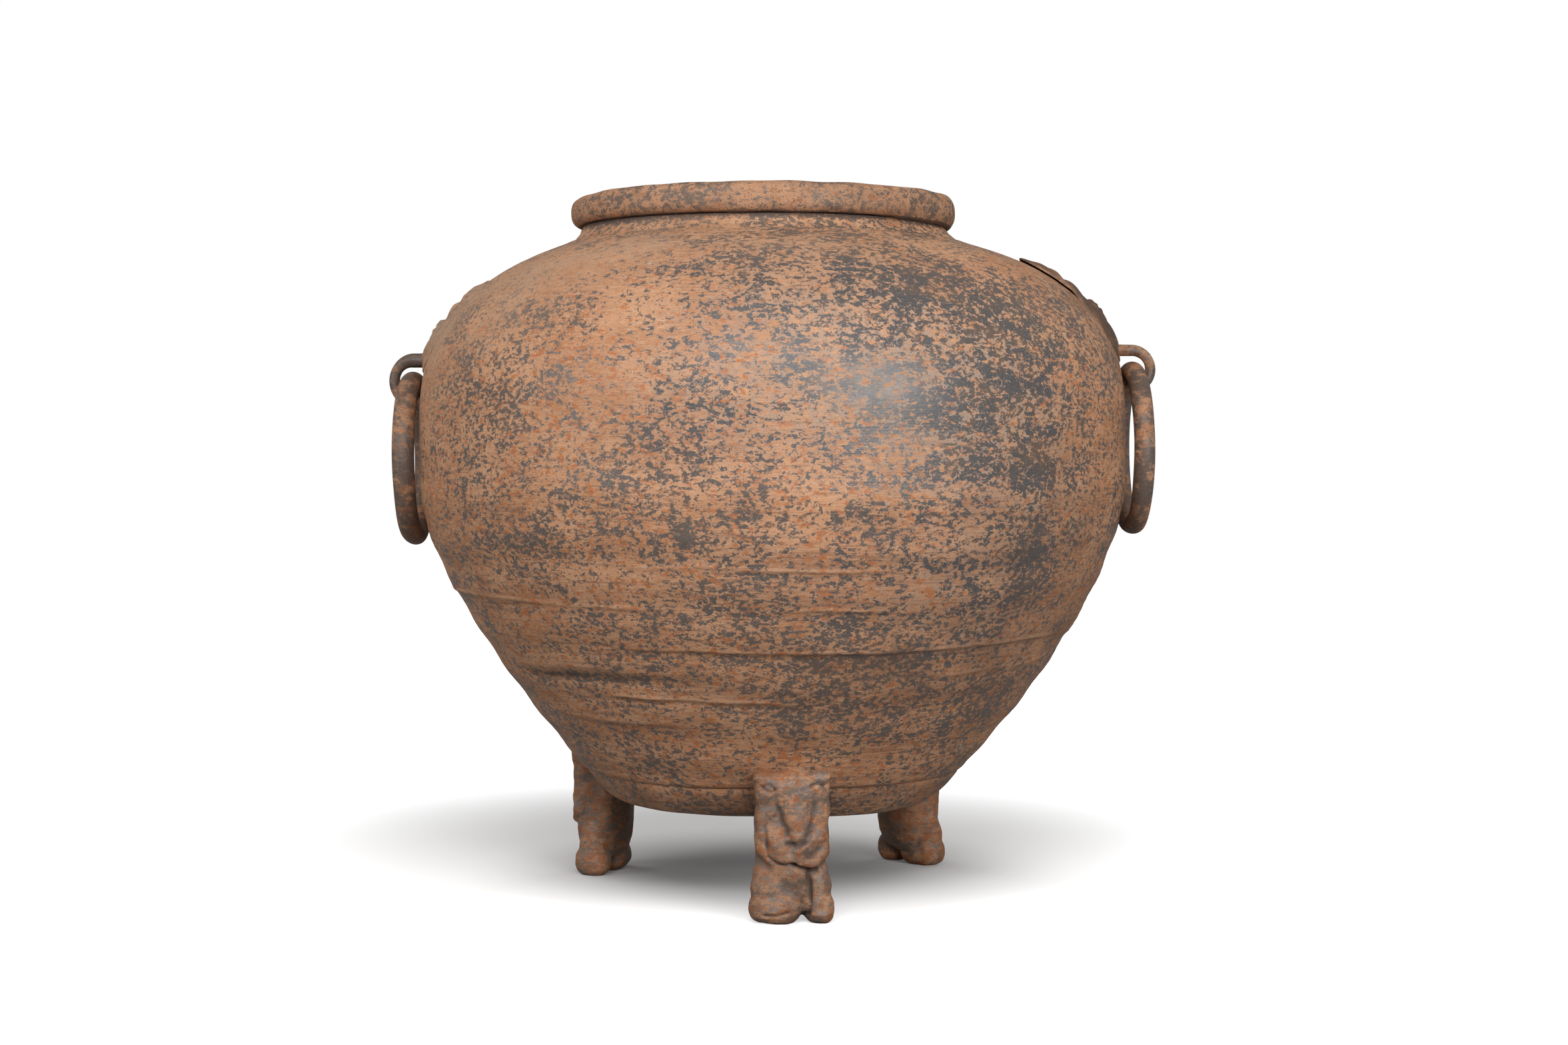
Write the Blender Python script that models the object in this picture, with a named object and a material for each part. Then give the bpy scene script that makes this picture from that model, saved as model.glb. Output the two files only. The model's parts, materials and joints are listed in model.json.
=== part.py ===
"""Terracotta storage jar on three bear feet, with two animal-mask handles and loose rings.

The jar is built as a potter builds it: a base dish, a lower and an upper wall with a lapped
seam, a rim coil over the lip, three moulded feet, two moulded masks, two loops whose legs
are set into the wall, and two rings caught in the loops.

Metres. +Z is up, the viewer stands at -Y, the handles are at -X and +X, and the origin is
on the floor under the jar's axis.
"""

import math

import bmesh
import bpy
from mathutils import Vector

# Driving dimensions

# Base dish
base_height = 0.067
base_flat_radius = 0.115
dish_rise = 0.022
dish_seam_radius = 0.1405
dish_floor_thickness = 0.014

# Wall, each rise counted from the one below it
lower_rise = 0.216
lower_bend_share = 0.685
belly_band = 0.025
belly_radius = 0.2623
shoulder_span = 0.1678
shoulder_power = 3.29
wall_thickness = 0.012

# Lapped seam between the two walls
seam_drop = 0.063
seam_lap = 0.006

# Neck and rim coil
neck_radius = 0.1352
neck_flare = 0.008
neck_rise = 0.0103
neck_thickness = 0.0122
lip_thickness = 0.0050
lip_height = 0.0070
rim_height = 0.0230
rim_width = 0.0228
rim_overhang = 0.0074
rim_squareness = 3.0
rim_shift = 0.0069
shift_rise = 0.061

# Rings and loops, hand-rolled, so the left and the right one have sizes of their own
ring_rises = (0.0468, 0.0550)
ring_bars = (0.0165, 0.0155)
ring_diameter = 0.1300
loop_root_bars = (0.0105, 0.0085)
loop_bend_bars = (0.0080, 0.0080)
eye_slacks = (0.0030, 0.0040)
loop_stand_out = 0.0247
loop_set_depth = 0.007
ring_seat_gap = 0.0004

# Masks, left and right
mask_width = 0.136
mask_heights = (0.088, 0.108)
mask_plates = (0.0024, 0.0034)
mask_reliefs = (0.0030, 0.0064)
mask_edge = 0.0015
mask_rise = 0.0065

# Feet
foot_inset = 0.0005
foot_turns = {
    "front": math.radians(5.0),
    "right": math.radians(130.5),
    "left": math.radians(-113.5),
}
face_presses = {"front": 0, "right": 0.009, "left": 0.001}
paw_presses = {"front": 0, "right": 0.004, "left": 0.008}
foot_depth = 0.041
foot_width = 0.056
foot_height = 0.106
foot_grain = 0.0026

# Working clearances
piece_gap = 0.0003
cut_overrun = 0.020

# Angle between faces above which an edge stays sharp
crease_angle = math.radians(40)

# Heights and places that follow from the sizes above
dish_seam_height = base_height + dish_rise
belly_foot_height = dish_seam_height + lower_rise
lower_bend_height = dish_seam_height + lower_bend_share * lower_rise
belly_height = belly_foot_height + belly_band
seam_height = belly_foot_height - seam_drop
ring_heights = [belly_height + rise for rise in ring_rises]
foot_reach = dish_seam_radius - foot_inset

# Counts

wall_steps = 48
lower_rows = 7
shoulder_rows = 13
dish_rows = 4
rim_rows = 14
ring_steps = 36
bar_sides = 12
loop_turns = 11
mask_columns = 32
mask_rows = 18
climb_steps = 24
lump_segments = 20
lump_rings = 12
foot_keep_share = 0.16
foot_smoothing = 4

# Shapes as shares of the sizes above

# Lower and upper edge of the mask, from its middle to its side: (across / width, up / height)
mask_jaw_shares = ((0.00, 0.00), (0.20, 0.00), (0.32, 0.03), (0.42, 0.10), (0.48, 0.22), (0.50, 0.35))
mask_crest_shares = (
    (0.00, 1.00),
    (0.08, 0.95),
    (0.15, 0.91),
    (0.22, 0.95),
    (0.30, 0.98),
    (0.38, 0.94),
    (0.46, 0.84),
    (0.50, 0.70),
)
# Raised forms of the mask, the same on its left and right: the run of each as (across / width,
# up / height), then reach / width and rise / relief
mask_form_shares = {
    "muzzle": (((0.00, 0.14), (0.08, 0.12)), 0.080, 0.75),
    "nose": (((0.00, 0.20), (0.00, 0.54)), 0.055, 0.80),
    "jowl": (((0.17, 0.12), (0.27, 0.24), (0.37, 0.33), (0.33, 0.45)), 0.070, 0.90),
    "eye": (((0.16, 0.46),), 0.080, 1.00),
    "brow": (((0.05, 0.58), (0.15, 0.67), (0.28, 0.67), (0.39, 0.57)), 0.050, 0.80),
    "horn": (((0.11, 0.77), (0.19, 0.88), (0.32, 0.88), (0.38, 0.78), (0.30, 0.75)), 0.055, 1.00),
    "crest": (((0.00, 0.70), (0.00, 0.93)), 0.050, 0.90),
}

# The bear's forms, on its left and right alike: the middle as (outward / depth,
# sideways / width, up / height), the half sizes in the same shares, and the squareness
bear_lump_shares = {
    "column": ((0.00, 0.00, 0.50), (0.42, 0.45, 0.48), 4.0),
    "thigh": ((0.20, 0.27, 0.26), (0.30, 0.24, 0.17), 2.0),
    "paw": ((0.20, 0.28, 0.07), (0.36, 0.255, 0.15), 3.0),
    "belly": ((0.24, 0.00, 0.32), (0.26, 0.34, 0.14), 2.0),
    "elbow": ((0.28, 0.38, 0.50), (0.24, 0.14, 0.12), 2.0),
    "forearm": ((0.46, 0.24, 0.44), (0.18, 0.22, 0.060), 2.0),
    "hand": ((0.54, 0.09, 0.45), (0.17, 0.12, 0.060), 2.0),
    "shoulder": ((0.20, 0.34, 0.66), (0.30, 0.16, 0.15), 2.0),
    "skull": ((0.26, 0.00, 0.83), (0.44, 0.46, 0.165), 2.4),
    "brow": ((0.52, 0.22, 0.90), (0.18, 0.17, 0.060), 2.0),
    "jaw": ((0.40, 0.17, 0.67), (0.28, 0.22, 0.110), 2.0),
    "snout": ((0.56, 0.00, 0.66), (0.25, 0.18, 0.105), 2.0),
    "ear": ((0.30, 0.44, 0.935), (0.24, 0.10, 0.055), 2.0),
}

# Colours of the fired clay (sRGB) and its surface

body_clay = (0.66, 0.42, 0.30)
foot_clay = (0.52, 0.33, 0.24)
bar_clay = (0.42, 0.33, 0.28)
clay_roughness = 0.62
bar_roughness = 0.50


# Small helpers


def linear(colour):
    """sRGB to the linear values that a shader takes."""
    low_limit, low_slope, offset, power = 0.04045, 12.92, 0.055, 2.4
    return [
        c / low_slope if c <= low_limit else ((c + offset) / (1 + offset)) ** power
        for c in colour
    ]


def clay(obj, colour, roughness):
    """Gives the object its own clay material."""
    made = bpy.data.materials.new(obj.name + "_clay")
    made.use_nodes = True
    shader = made.node_tree.nodes["Principled BSDF"]
    shader.inputs["Base Color"].default_value = (*linear(colour), 1.0)
    shader.inputs["Roughness"].default_value = roughness
    shader.inputs["Metallic"].default_value = 0.0
    obj.data.materials.clear()
    obj.data.materials.append(made)


def link(name, data, parent=None):
    """A new object of that name in the scene."""
    obj = bpy.data.objects.new(name, data)
    bpy.context.scene.collection.objects.link(obj)
    obj.parent = parent
    return obj


def mesh_from(name, mesh, parent=None):
    """An object from a bmesh, smooth but for its sharp edges."""
    data = bpy.data.meshes.new(name)
    bmesh.ops.recalc_face_normals(mesh, faces=mesh.faces)
    mesh.to_mesh(data)
    mesh.free()
    data.shade_smooth()
    data.set_sharp_from_angle(angle=crease_angle)
    return link(name, data, parent)


def cutter(obj):
    """Marks an object as a tool that only cuts."""
    obj.hide_render = True
    obj.display_type = "WIRE"
    return obj


def cut(obj, tool, name):
    """Takes the tool's space out of the object."""
    made = obj.modifiers.new(name, "BOOLEAN")
    made.operation = "DIFFERENCE"
    made.solver = "EXACT"
    made.object = tool


def leaned(mesh):
    """Shifts the neck's end of a mesh sideways, as the hand-set rim stands on the jar."""
    start = rim_seat_height - shift_rise
    for vert in mesh.verts:
        share = min(max((vert.co.z - start) / shift_rise, 0), 1)
        vert.co.x -= rim_shift * share**2


def turned(name, outline):
    """An outline of (radius, height), closed or from axis to axis, turned about the jar's axis."""
    mesh = bmesh.new()
    ring = [mesh.verts.new((r, 0, z)) for r, z in outline]
    edges = [mesh.edges.new((a, b)) for a, b in zip(ring, ring[1:])]
    if outline[0][0] > 0:
        edges.append(mesh.edges.new((ring[-1], ring[0])))
    bmesh.ops.spin(
        mesh,
        geom=ring + edges,
        axis=(0, 0, 1),
        cent=(0, 0, 0),
        angle=math.tau,
        steps=wall_steps,
        use_merge=True,
    )
    bmesh.ops.remove_doubles(mesh, verts=mesh.verts, dist=piece_gap / wall_steps)
    leaned(mesh)
    return mesh_from(name, mesh)


# The wall's curve


def lower_share(height):
    """How far down the curve from the belly to the dish's seam a height lies, from 0 to 1."""
    a = belly_foot_height - 2 * lower_bend_height + dish_seam_height
    b = 2 * (lower_bend_height - belly_foot_height)
    c = belly_foot_height - height
    return (-b - math.sqrt(b * b - 4 * a * c)) / (2 * a)


def outer_radius(height):
    """Radius of the outer wall at a height between the dish's seam and the neck."""
    if height > belly_height:
        share = (height - belly_height) / shoulder_span
        return belly_radius * math.sqrt(1 - share**shoulder_power)
    if height >= belly_foot_height:
        return belly_radius
    return belly_radius - (belly_radius - dish_seam_radius) * lower_share(height) ** 2


def outward(height):
    """The outer wall's normal at a height, as (radial, upward)."""
    step = wall_thickness / 100
    slope = (outer_radius(height + step) - outer_radius(height - step)) / (2 * step)
    length = math.hypot(1, slope)
    return 1 / length, -slope / length


def inner_radius(height):
    """Radius of the inside of the wall at a height, where the wall is steep."""
    return outer_radius(height) - wall_thickness / outward(height)[0]


def pushed(height, distance):
    """The point at that distance outside the wall, square to it, as (radius, height)."""
    across, up = outward(height)
    return outer_radius(height) + distance * across, height + distance * up


def climbed(height, distance):
    """The height reached by going that distance up along the outer wall."""
    for _ in range(climb_steps):
        height += outward(height)[0] * distance / climb_steps
    return height


def spread(low, high, count):
    """Evenly spaced values from low to high, both included."""
    return [low + (high - low) * i / (count - 1) for i in range(count)]


neck_foot_share = 1 - ((neck_radius + neck_flare) / belly_radius) ** 2
neck_foot_height = belly_height + shoulder_span * neck_foot_share ** (
    1 / shoulder_power
)
rim_seat_height = neck_foot_height + neck_rise
lip_radius = neck_radius - (neck_thickness - lip_thickness) / 2


def dish_outer():
    """The dish's outer curve, from its flat underside up to the seam."""
    slope = outward(dish_seam_height)[1] / outward(dish_seam_height)[0]
    bend = dish_seam_radius + slope * (dish_seam_height - base_height)
    points = []
    for t in spread(0, 1, dish_rows):
        r = base_flat_radius * (1 - t) ** 2 + 2 * bend * t * (1 - t)
        z = base_height * (1 - t) ** 2 + 2 * base_height * t * (1 - t)
        points.append((r + dish_seam_radius * t**2, z + dish_seam_height * t**2))
    return points


def shoulder_heights():
    """Heights of the upper wall's rows, closer together where the shoulder turns in."""
    return [
        belly_height + (neck_foot_height - belly_height) * math.sin(turn)
        for turn in spread(0, math.pi / 2, shoulder_rows)
    ]


# Pieces that the potter turns


def base_dish():
    floor_height = base_height + dish_floor_thickness
    floor_radius = base_flat_radius - dish_floor_thickness / 2
    outline = [(0, base_height)] + dish_outer()
    outline += [
        (inner_radius(dish_seam_height), dish_seam_height),
        (floor_radius, floor_height),
        (0, floor_height),
    ]
    return turned("base_dish", outline)


def lower_wall():
    foot = dish_seam_height + piece_gap
    heights = spread(foot, seam_height, lower_rows)
    lap_radius = (outer_radius(seam_height) + inner_radius(seam_height)) / 2
    outline = [(outer_radius(z), z) for z in heights]
    outline += [(lap_radius, seam_height), (lap_radius, seam_height + seam_lap)]
    outline += [(inner_radius(seam_height + seam_lap), seam_height + seam_lap)]
    outline += [(inner_radius(z), z) for z in reversed(heights)]
    return turned("lower_wall", outline)


def upper_wall():
    foot = seam_height + piece_gap
    step_height = foot + seam_lap
    lap_radius = (
        outer_radius(seam_height) + inner_radius(seam_height)
    ) / 2 + piece_gap
    rising = [foot, (foot + belly_foot_height) / 2, belly_foot_height]
    outer = [(outer_radius(z), z) for z in rising]
    outer += [(outer_radius(z), z) for z in shoulder_heights()]
    neck_inner = neck_radius - neck_thickness
    neck = [
        (neck_radius + neck_flare / 3, neck_foot_height + neck_rise / 2),
        (neck_radius, rim_seat_height),
        (lip_radius, rim_seat_height),
        (lip_radius, rim_seat_height + lip_height),
        (lip_radius - lip_thickness, rim_seat_height + lip_height),
        (lip_radius - lip_thickness, rim_seat_height),
        (neck_inner, rim_seat_height),
        (neck_inner, pushed(neck_foot_height, -wall_thickness)[1] + neck_rise),
    ]
    inner = [pushed(z, -wall_thickness) for z in reversed(shoulder_heights())]
    inner += [
        (inner_radius(belly_foot_height), belly_foot_height),
        (inner_radius(step_height), step_height),
        (lap_radius, step_height),
        (lap_radius, foot),
    ]
    return turned("upper_wall", outer + neck + inner)


def rim_coil():
    seat = rim_seat_height + piece_gap
    middle_radius = neck_radius + rim_overhang - rim_width / 2
    middle_height = seat + rim_height / 2
    roll = []
    for turn in spread(-math.pi / 2, 1.5 * math.pi, rim_rows + 1)[1:-1]:
        across, up = math.cos(turn), math.sin(turn)
        reach = (abs(across) ** rim_squareness + abs(up) ** rim_squareness) ** (
            -1 / rim_squareness
        )
        roll.append(
            (
                middle_radius + across * reach * rim_width / 2,
                middle_height + up * reach * rim_height / 2,
            )
        )
    groove_top = seat + lip_height
    groove_in = lip_radius - lip_thickness - piece_gap
    groove_out = lip_radius + piece_gap
    groove = [
        (groove_in, seat),
        (groove_in, groove_top),
        (groove_out, groove_top),
        (groove_out, seat),
    ]
    return turned("rim_coil", roll + groove)


# Cutters that keep neighbours apart


def body_cutter():
    """The jar's outer form with a little room round it, which feet and masks are cut by."""
    heights = spread(dish_seam_height, belly_foot_height, lower_rows + 1)
    outline = [(0, base_height - piece_gap)]
    outline += [(r, z - piece_gap) for r, z in dish_outer()[:-1]]
    outline += [pushed(z, piece_gap) for z in heights]
    outline += [(0, belly_foot_height)]
    return cutter(turned("body_cutter", outline))


def block(name, low, high):
    """A plain box between two corners, as a cutter."""
    mesh = bmesh.new()
    bmesh.ops.create_cube(mesh, size=1)
    middle, size = (low + high) / 2, high - low
    bmesh.ops.scale(mesh, vec=size, verts=mesh.verts)
    bmesh.ops.translate(mesh, vec=middle, verts=mesh.verts)
    return cutter(mesh_from(name, mesh))


# Feet


def lump(mesh, middle, half_sizes, squareness):
    """Adds one lump of clay to the mesh, an egg at squareness 2 and a rounded block above it."""
    made = bmesh.ops.create_uvsphere(
        mesh, u_segments=lump_segments, v_segments=lump_rings, radius=1
    )["verts"]
    for vert in made:
        vert.co /= sum(abs(c) ** squareness for c in vert.co) ** (1 / squareness)
    bmesh.ops.scale(mesh, vec=half_sizes, verts=made)
    bmesh.ops.translate(mesh, vec=middle, verts=made)


def bear_foot(name, body_tool, floor_tool):
    """One moulded foot: a squatting bear that faces away from the jar."""
    azimuth = foot_turns[name] - math.pi / 2
    scale = Vector((foot_depth, foot_width, foot_height))
    mesh = bmesh.new()
    for form, (middle, half_sizes, squareness) in bear_lump_shares.items():
        press = paw_presses if form in ("paw", "thigh") else face_presses
        for side in (1, -1) if middle[1] else (1,):
            place = Vector(middle) * scale
            place.x -= press[name] if middle[0] else 0
            place.y *= side
            lump(mesh, place, Vector(half_sizes) * scale, squareness)
    foot = mesh_from("foot_" + name, mesh)
    foot.location = (
        foot_reach * math.cos(azimuth),
        foot_reach * math.sin(azimuth),
        0,
    )
    foot.rotation_euler = (0, 0, azimuth)
    merge = foot.modifiers.new("one_lump_of_clay", "REMESH")
    merge.mode = "VOXEL"
    merge.voxel_size = foot_grain
    merge.use_smooth_shade = True
    soften = foot.modifiers.new("softened", "SMOOTH")
    soften.iterations = foot_smoothing
    thin = foot.modifiers.new("fewer_faces", "DECIMATE")
    thin.ratio = foot_keep_share
    cut(foot, body_tool, "seated_on_jar")
    cut(foot, floor_tool, "flat_sole")
    clay(foot, foot_clay, clay_roughness)
    return foot


# Handles


def mask_point(side, seat_height, across, up, rise):
    """A point on a mask: across and up along the wall, and risen square to it."""
    height = climbed(seat_height, up)
    radius, lifted = pushed(height, rise)
    turn = across / outer_radius(height)
    return Vector(
        (side * radius * math.cos(turn), radius * math.sin(turn), lifted)
    )


def edge_at(points, across):
    """Height of a mask's edge at a place across, straight from point to point, all in shares."""
    for (start, low), (end, high) in zip(points, points[1:]):
        if across <= end:
            break
    return low + (high - low) * (across - start) / (end - start)


def run_distance(place, run):
    """Distance from a place to the nearest point of a run of points."""
    distances = [(place - run[0]).length]
    for a, b in zip(run, run[1:]):
        share = min(max((place - a).dot(b - a) / (b - a).length_squared, 0), 1)
        distances.append((place - a.lerp(b, share)).length)
    return min(distances)


def relief_share(which, across, up):
    """How high the mask's raised forms stand at a place, as a share of its relief."""
    size = Vector((mask_width, mask_heights[which]))
    place = Vector((abs(across), up))
    highest = 0
    for run, reach_share, rise_share in mask_form_shares.values():
        away = run_distance(place, [Vector(point) * size for point in run])
        share = min(away / (reach_share * mask_width), 1)
        highest = max(highest, rise_share * (1 - share**2) ** 2)
    return highest


def mask(name, which, side):
    """One moulded animal mask, bedded on the shoulder above its ring."""
    seat = ring_heights[which] + mask_rise
    mesh = bmesh.new()
    face, back = [], []
    for turn in spread(-math.pi / 2, math.pi / 2, mask_columns + 1):
        s = math.sin(turn)
        across = s * mask_width / 2
        low = edge_at(mask_jaw_shares, abs(s) / 2) * mask_heights[which]
        high = edge_at(mask_crest_shares, abs(s) / 2) * mask_heights[which]
        front_column, back_column = [], []
        for t in spread(-1, 1, mask_rows + 1):
            up = low + (high - low) * (t + 1) / 2
            thin = (1 - s**4) * (1 - t**4)
            rise = piece_gap + mask_edge
            rise += (mask_plates[which] - mask_edge) * math.sqrt(thin)
            rise += mask_reliefs[which] * relief_share(which, across, up) * thin
            front = mask_point(side, seat, across, up, rise)
            behind = mask_point(side, seat, across, up, piece_gap)
            front_column.append(mesh.verts.new(front))
            back_column.append(mesh.verts.new(behind))
        face.append(front_column)
        back.append(back_column)
    for sheet in (face, back):
        for near, far in zip(sheet, sheet[1:]):
            for i in range(mask_rows):
                mesh.faces.new((near[i], near[i + 1], far[i + 1], far[i]))
    for front, behind in ((face[0], back[0]), (face[-1], back[-1])):
        for i in range(mask_rows):
            mesh.faces.new((front[i], front[i + 1], behind[i + 1], behind[i]))
    for end in (0, -1):
        for i in range(mask_columns):
            j = i + 1
            mesh.faces.new((face[i][end], face[j][end], back[j][end], back[i][end]))
    leaned(mesh)
    made = mesh_from(name, mesh)
    clay(made, body_clay, clay_roughness)
    return made


def bar(name, points, radii):
    """A round bar of clay with flat ends along a run of (across, height) points at y = 0."""
    mesh = bmesh.new()
    rows = []
    for i, ((x, z), radius) in enumerate(zip(points, radii)):
        before = Vector(points[max(i - 1, 0)])
        after = Vector(points[min(i + 1, len(points) - 1)])
        along = (after - before).normalized()
        row = []
        for j in range(bar_sides):
            turn = math.tau * j / bar_sides
            out = radius * math.cos(turn)
            side = radius * math.sin(turn)
            row.append(mesh.verts.new((x - along.y * out, side, z + along.x * out)))
        rows.append(row)
    for near, far in zip(rows, rows[1:]):
        for i in range(bar_sides):
            j = (i + 1) % bar_sides
            mesh.faces.new((near[i], near[j], far[j], far[i]))
    mesh.faces.new(rows[0])
    mesh.faces.new(rows[-1])
    return mesh_from(name, mesh)


def loose_ring(name, bar_size, parent):
    """A ring that hangs from its parent's place, where the parent is at its top bar's middle."""
    mesh = bmesh.new()
    centre_radius = (ring_diameter - bar_size) / 2
    section = []
    for turn in spread(0, math.tau, bar_sides + 1)[:-1]:
        out = bar_size / 2 * math.cos(turn)
        up = centre_radius + bar_size / 2 * math.sin(turn)
        section.append(mesh.verts.new((out, 0, up)))
    edges = [mesh.edges.new(pair) for pair in zip(section, section[1:] + section[:1])]
    bmesh.ops.spin(
        mesh,
        geom=section + edges,
        axis=(1, 0, 0),
        cent=(0, 0, 0),
        angle=math.tau,
        steps=ring_steps,
        use_merge=True,
    )
    bmesh.ops.remove_doubles(mesh, verts=mesh.verts, dist=piece_gap / ring_steps)
    bmesh.ops.translate(mesh, vec=(0, 0, -centre_radius), verts=mesh.verts)
    ring = mesh_from(name, mesh, parent)
    clay(ring, bar_clay, bar_roughness)


def handle(name, which, side, upper):
    """A mask, its loop set into the wall, and the ring that hangs in the loop."""
    ring_height, ring_bar = ring_heights[which], ring_bars[which]
    root_bar, bend_bar = loop_root_bars[which], loop_bend_bars[which]
    eye = (ring_bar + eye_slacks[which] + ring_seat_gap) / 2
    eye_height = ring_height - ring_bar / 2 - ring_seat_gap + eye
    loop_outer = belly_radius + loop_stand_out
    bend = eye + root_bar / 2
    bend_reach = eye + bend_bar / 2
    bend_middle = loop_outer - bend_bar / 2 - bend_reach
    legs = {"upper": eye_height + bend, "lower": eye_height - bend}

    def set_end(height):
        return side * (outer_radius(height) - loop_set_depth)

    points = [(set_end(legs["upper"]) + side * piece_gap, legs["upper"])]
    radii = [root_bar / 2]
    for turn in spread(math.pi / 2, -math.pi / 2, loop_turns):
        x = side * (bend_middle + bend_reach * math.cos(turn))
        points.append((x, eye_height + bend * math.sin(turn)))
        radii.append((root_bar + (bend_bar - root_bar) * math.cos(turn)) / 2)
    points.append((set_end(legs["lower"]) + side * piece_gap, legs["lower"]))
    radii.append(root_bar / 2)
    loop = bar("loop_" + name, points, radii)
    clay(loop, bar_clay, bar_roughness)

    made_mask = mask("mask_" + name, which, side)
    for leg, height in legs.items():
        line = ((set_end(height), height), (side * loop_outer, height))
        hole = root_bar / 2 + piece_gap
        socket = cutter(bar(f"socket_{name}_{leg}", line, (hole, hole)))
        cut(upper, socket, socket.name)
        if leg == "upper":
            cut(made_mask, socket, socket.name)

    pivot = link("pivot_" + name, None)
    pivot.location = (side * bend_middle, 0, ring_height)
    loose_ring("ring_" + name, ring_bar, pivot)


def main():
    for obj in list(bpy.data.objects):
        bpy.data.objects.remove(obj)
    dish = base_dish()
    lower = lower_wall()
    upper = upper_wall()
    rim = rim_coil()
    for piece in (dish, lower, upper, rim):
        clay(piece, body_clay, clay_roughness)

    body_tool = body_cutter()
    reach = foot_reach + foot_width
    low = Vector((-reach, -reach, -cut_overrun))
    floor_tool = block("floor_cutter", low, Vector((reach, reach, 0)))
    for name in foot_turns:
        bear_foot(name, body_tool, floor_tool)

    handle("left", 0, -1, upper)
    handle("right", 1, 1, upper)


main()
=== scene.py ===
"""The look of a terracotta storage jar on three bear feet, with mask handles and loose rings.

Every piece stands for a solid of the frame and follows its form, with what the hand and the
years left on it: coil ridges, dents, cracks, worn moulding and the remains of a dark slip.
Metres, +Z up, the viewer at -Y. Azimuth 0 faces the viewer and grows towards +X.
"""

import json
import math

import bmesh
import bpy
import numpy as np
from mathutils import Matrix, Vector

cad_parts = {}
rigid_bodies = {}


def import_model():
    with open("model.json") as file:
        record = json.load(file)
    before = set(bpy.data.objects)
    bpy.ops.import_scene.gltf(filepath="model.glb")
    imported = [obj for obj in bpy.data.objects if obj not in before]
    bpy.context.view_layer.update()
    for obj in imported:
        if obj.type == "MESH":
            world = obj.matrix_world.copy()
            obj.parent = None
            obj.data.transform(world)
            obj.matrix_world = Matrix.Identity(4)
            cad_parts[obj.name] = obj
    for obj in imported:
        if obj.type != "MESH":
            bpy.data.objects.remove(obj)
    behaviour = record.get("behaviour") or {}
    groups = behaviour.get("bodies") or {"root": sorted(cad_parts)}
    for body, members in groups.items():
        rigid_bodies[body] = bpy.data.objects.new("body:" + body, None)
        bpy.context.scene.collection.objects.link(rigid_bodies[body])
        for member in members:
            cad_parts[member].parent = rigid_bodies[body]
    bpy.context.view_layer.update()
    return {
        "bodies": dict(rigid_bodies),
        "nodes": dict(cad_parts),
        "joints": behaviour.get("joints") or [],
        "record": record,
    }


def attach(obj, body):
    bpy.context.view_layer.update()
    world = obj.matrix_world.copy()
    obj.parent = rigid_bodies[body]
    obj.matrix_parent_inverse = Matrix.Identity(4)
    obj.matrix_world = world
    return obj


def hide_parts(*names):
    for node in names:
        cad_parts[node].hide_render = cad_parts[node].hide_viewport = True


MM = 0.001
# Corners nearer to each other than this are one corner
SAME_PLACE = 0.001 * MM

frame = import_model()


# The wall's curve, as the frame's solids have it. A pair is a radius and a height

DISH_SEAM = (140.5 * MM, 89 * MM)
BASE_FLAT = (115 * MM, 67 * MM)
DISH_FLOOR = 14 * MM
LOWER_BEND_HEIGHT = 236.96 * MM
BELLY_FOOT_HEIGHT = 305 * MM
BELLY_RADIUS = 262.3 * MM
BELLY_HEIGHT = 330 * MM
SHOULDER_SPAN = 167.8 * MM
SHOULDER_POWER = 3.29
WALL = 12 * MM
SEAM_HEIGHT = 242 * MM
SEAM_LAP = 6 * MM
NECK_FOOT = (143.2 * MM, 480.7 * MM)
NECK_WAIST = (137.9 * MM, 485.9 * MM)
RIM_SEAT = (135.2 * MM, 491.0 * MM)
NECK_INSIDE = 123.0 * MM
# The lip's inner and outer radius, and its height over the rim's seat
LIP = (126.6 * MM, 131.6 * MM, 7 * MM)
RIM_MIDDLE = (131.2 * MM, 502.8 * MM)
RIM_HALF = (11.4 * MM, 11.5 * MM)
RIM_SQUARENESS = 3.0
RIM_SHIFT = 6.9 * MM
SHIFT_RISE = 61 * MM

# Azimuths of a turned piece's columns
COLUMNS = 440
ROUND = np.linspace(-math.pi, math.pi, COLUMNS, endpoint=False)[None, :]


def lower_radius(height):
    """Outer radius between the dish's seam and the belly."""
    a = BELLY_FOOT_HEIGHT - 2 * LOWER_BEND_HEIGHT + DISH_SEAM[1]
    b = 2 * (LOWER_BEND_HEIGHT - BELLY_FOOT_HEIGHT)
    c = BELLY_FOOT_HEIGHT - height
    share = (-b - np.sqrt(np.maximum(b * b - 4 * a * c, 0))) / (2 * a)
    return BELLY_RADIUS - (BELLY_RADIUS - DISH_SEAM[0]) * share**2


def wall_radius(height):
    """Outer radius of the wall from the dish's seam to the neck."""
    height = np.asarray(height, float)
    share = np.clip((height - BELLY_HEIGHT) / SHOULDER_SPAN, 0, 0.999)
    shoulder = BELLY_RADIUS * np.sqrt(1 - share**SHOULDER_POWER)
    lower = lower_radius(np.minimum(height, BELLY_FOOT_HEIGHT))
    return np.where(height > BELLY_HEIGHT, shoulder, lower)


def wall_normal(height):
    """The outer wall's normal as (radial, upward)."""
    step = 0.1 * MM
    slope = (wall_radius(height + step) - wall_radius(height - step)) / (2 * step)
    length = np.hypot(1, slope)
    return 1 / length, -slope / length


def inside_radius(height, share=1.0):
    """Radius of the inside at a height, or of the place that share of the way through the wall."""
    return wall_radius(height) - WALL * share / wall_normal(height)[0]


# Heights along the wall against the distance climbed on it
CLIMB_HEIGHTS = np.linspace(DISH_SEAM[1], NECK_FOOT[1], 4000)
CLIMB = np.concatenate(
    [[0], np.cumsum(np.hypot(np.diff(CLIMB_HEIGHTS), np.diff(wall_radius(CLIMB_HEIGHTS))))]
)


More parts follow.
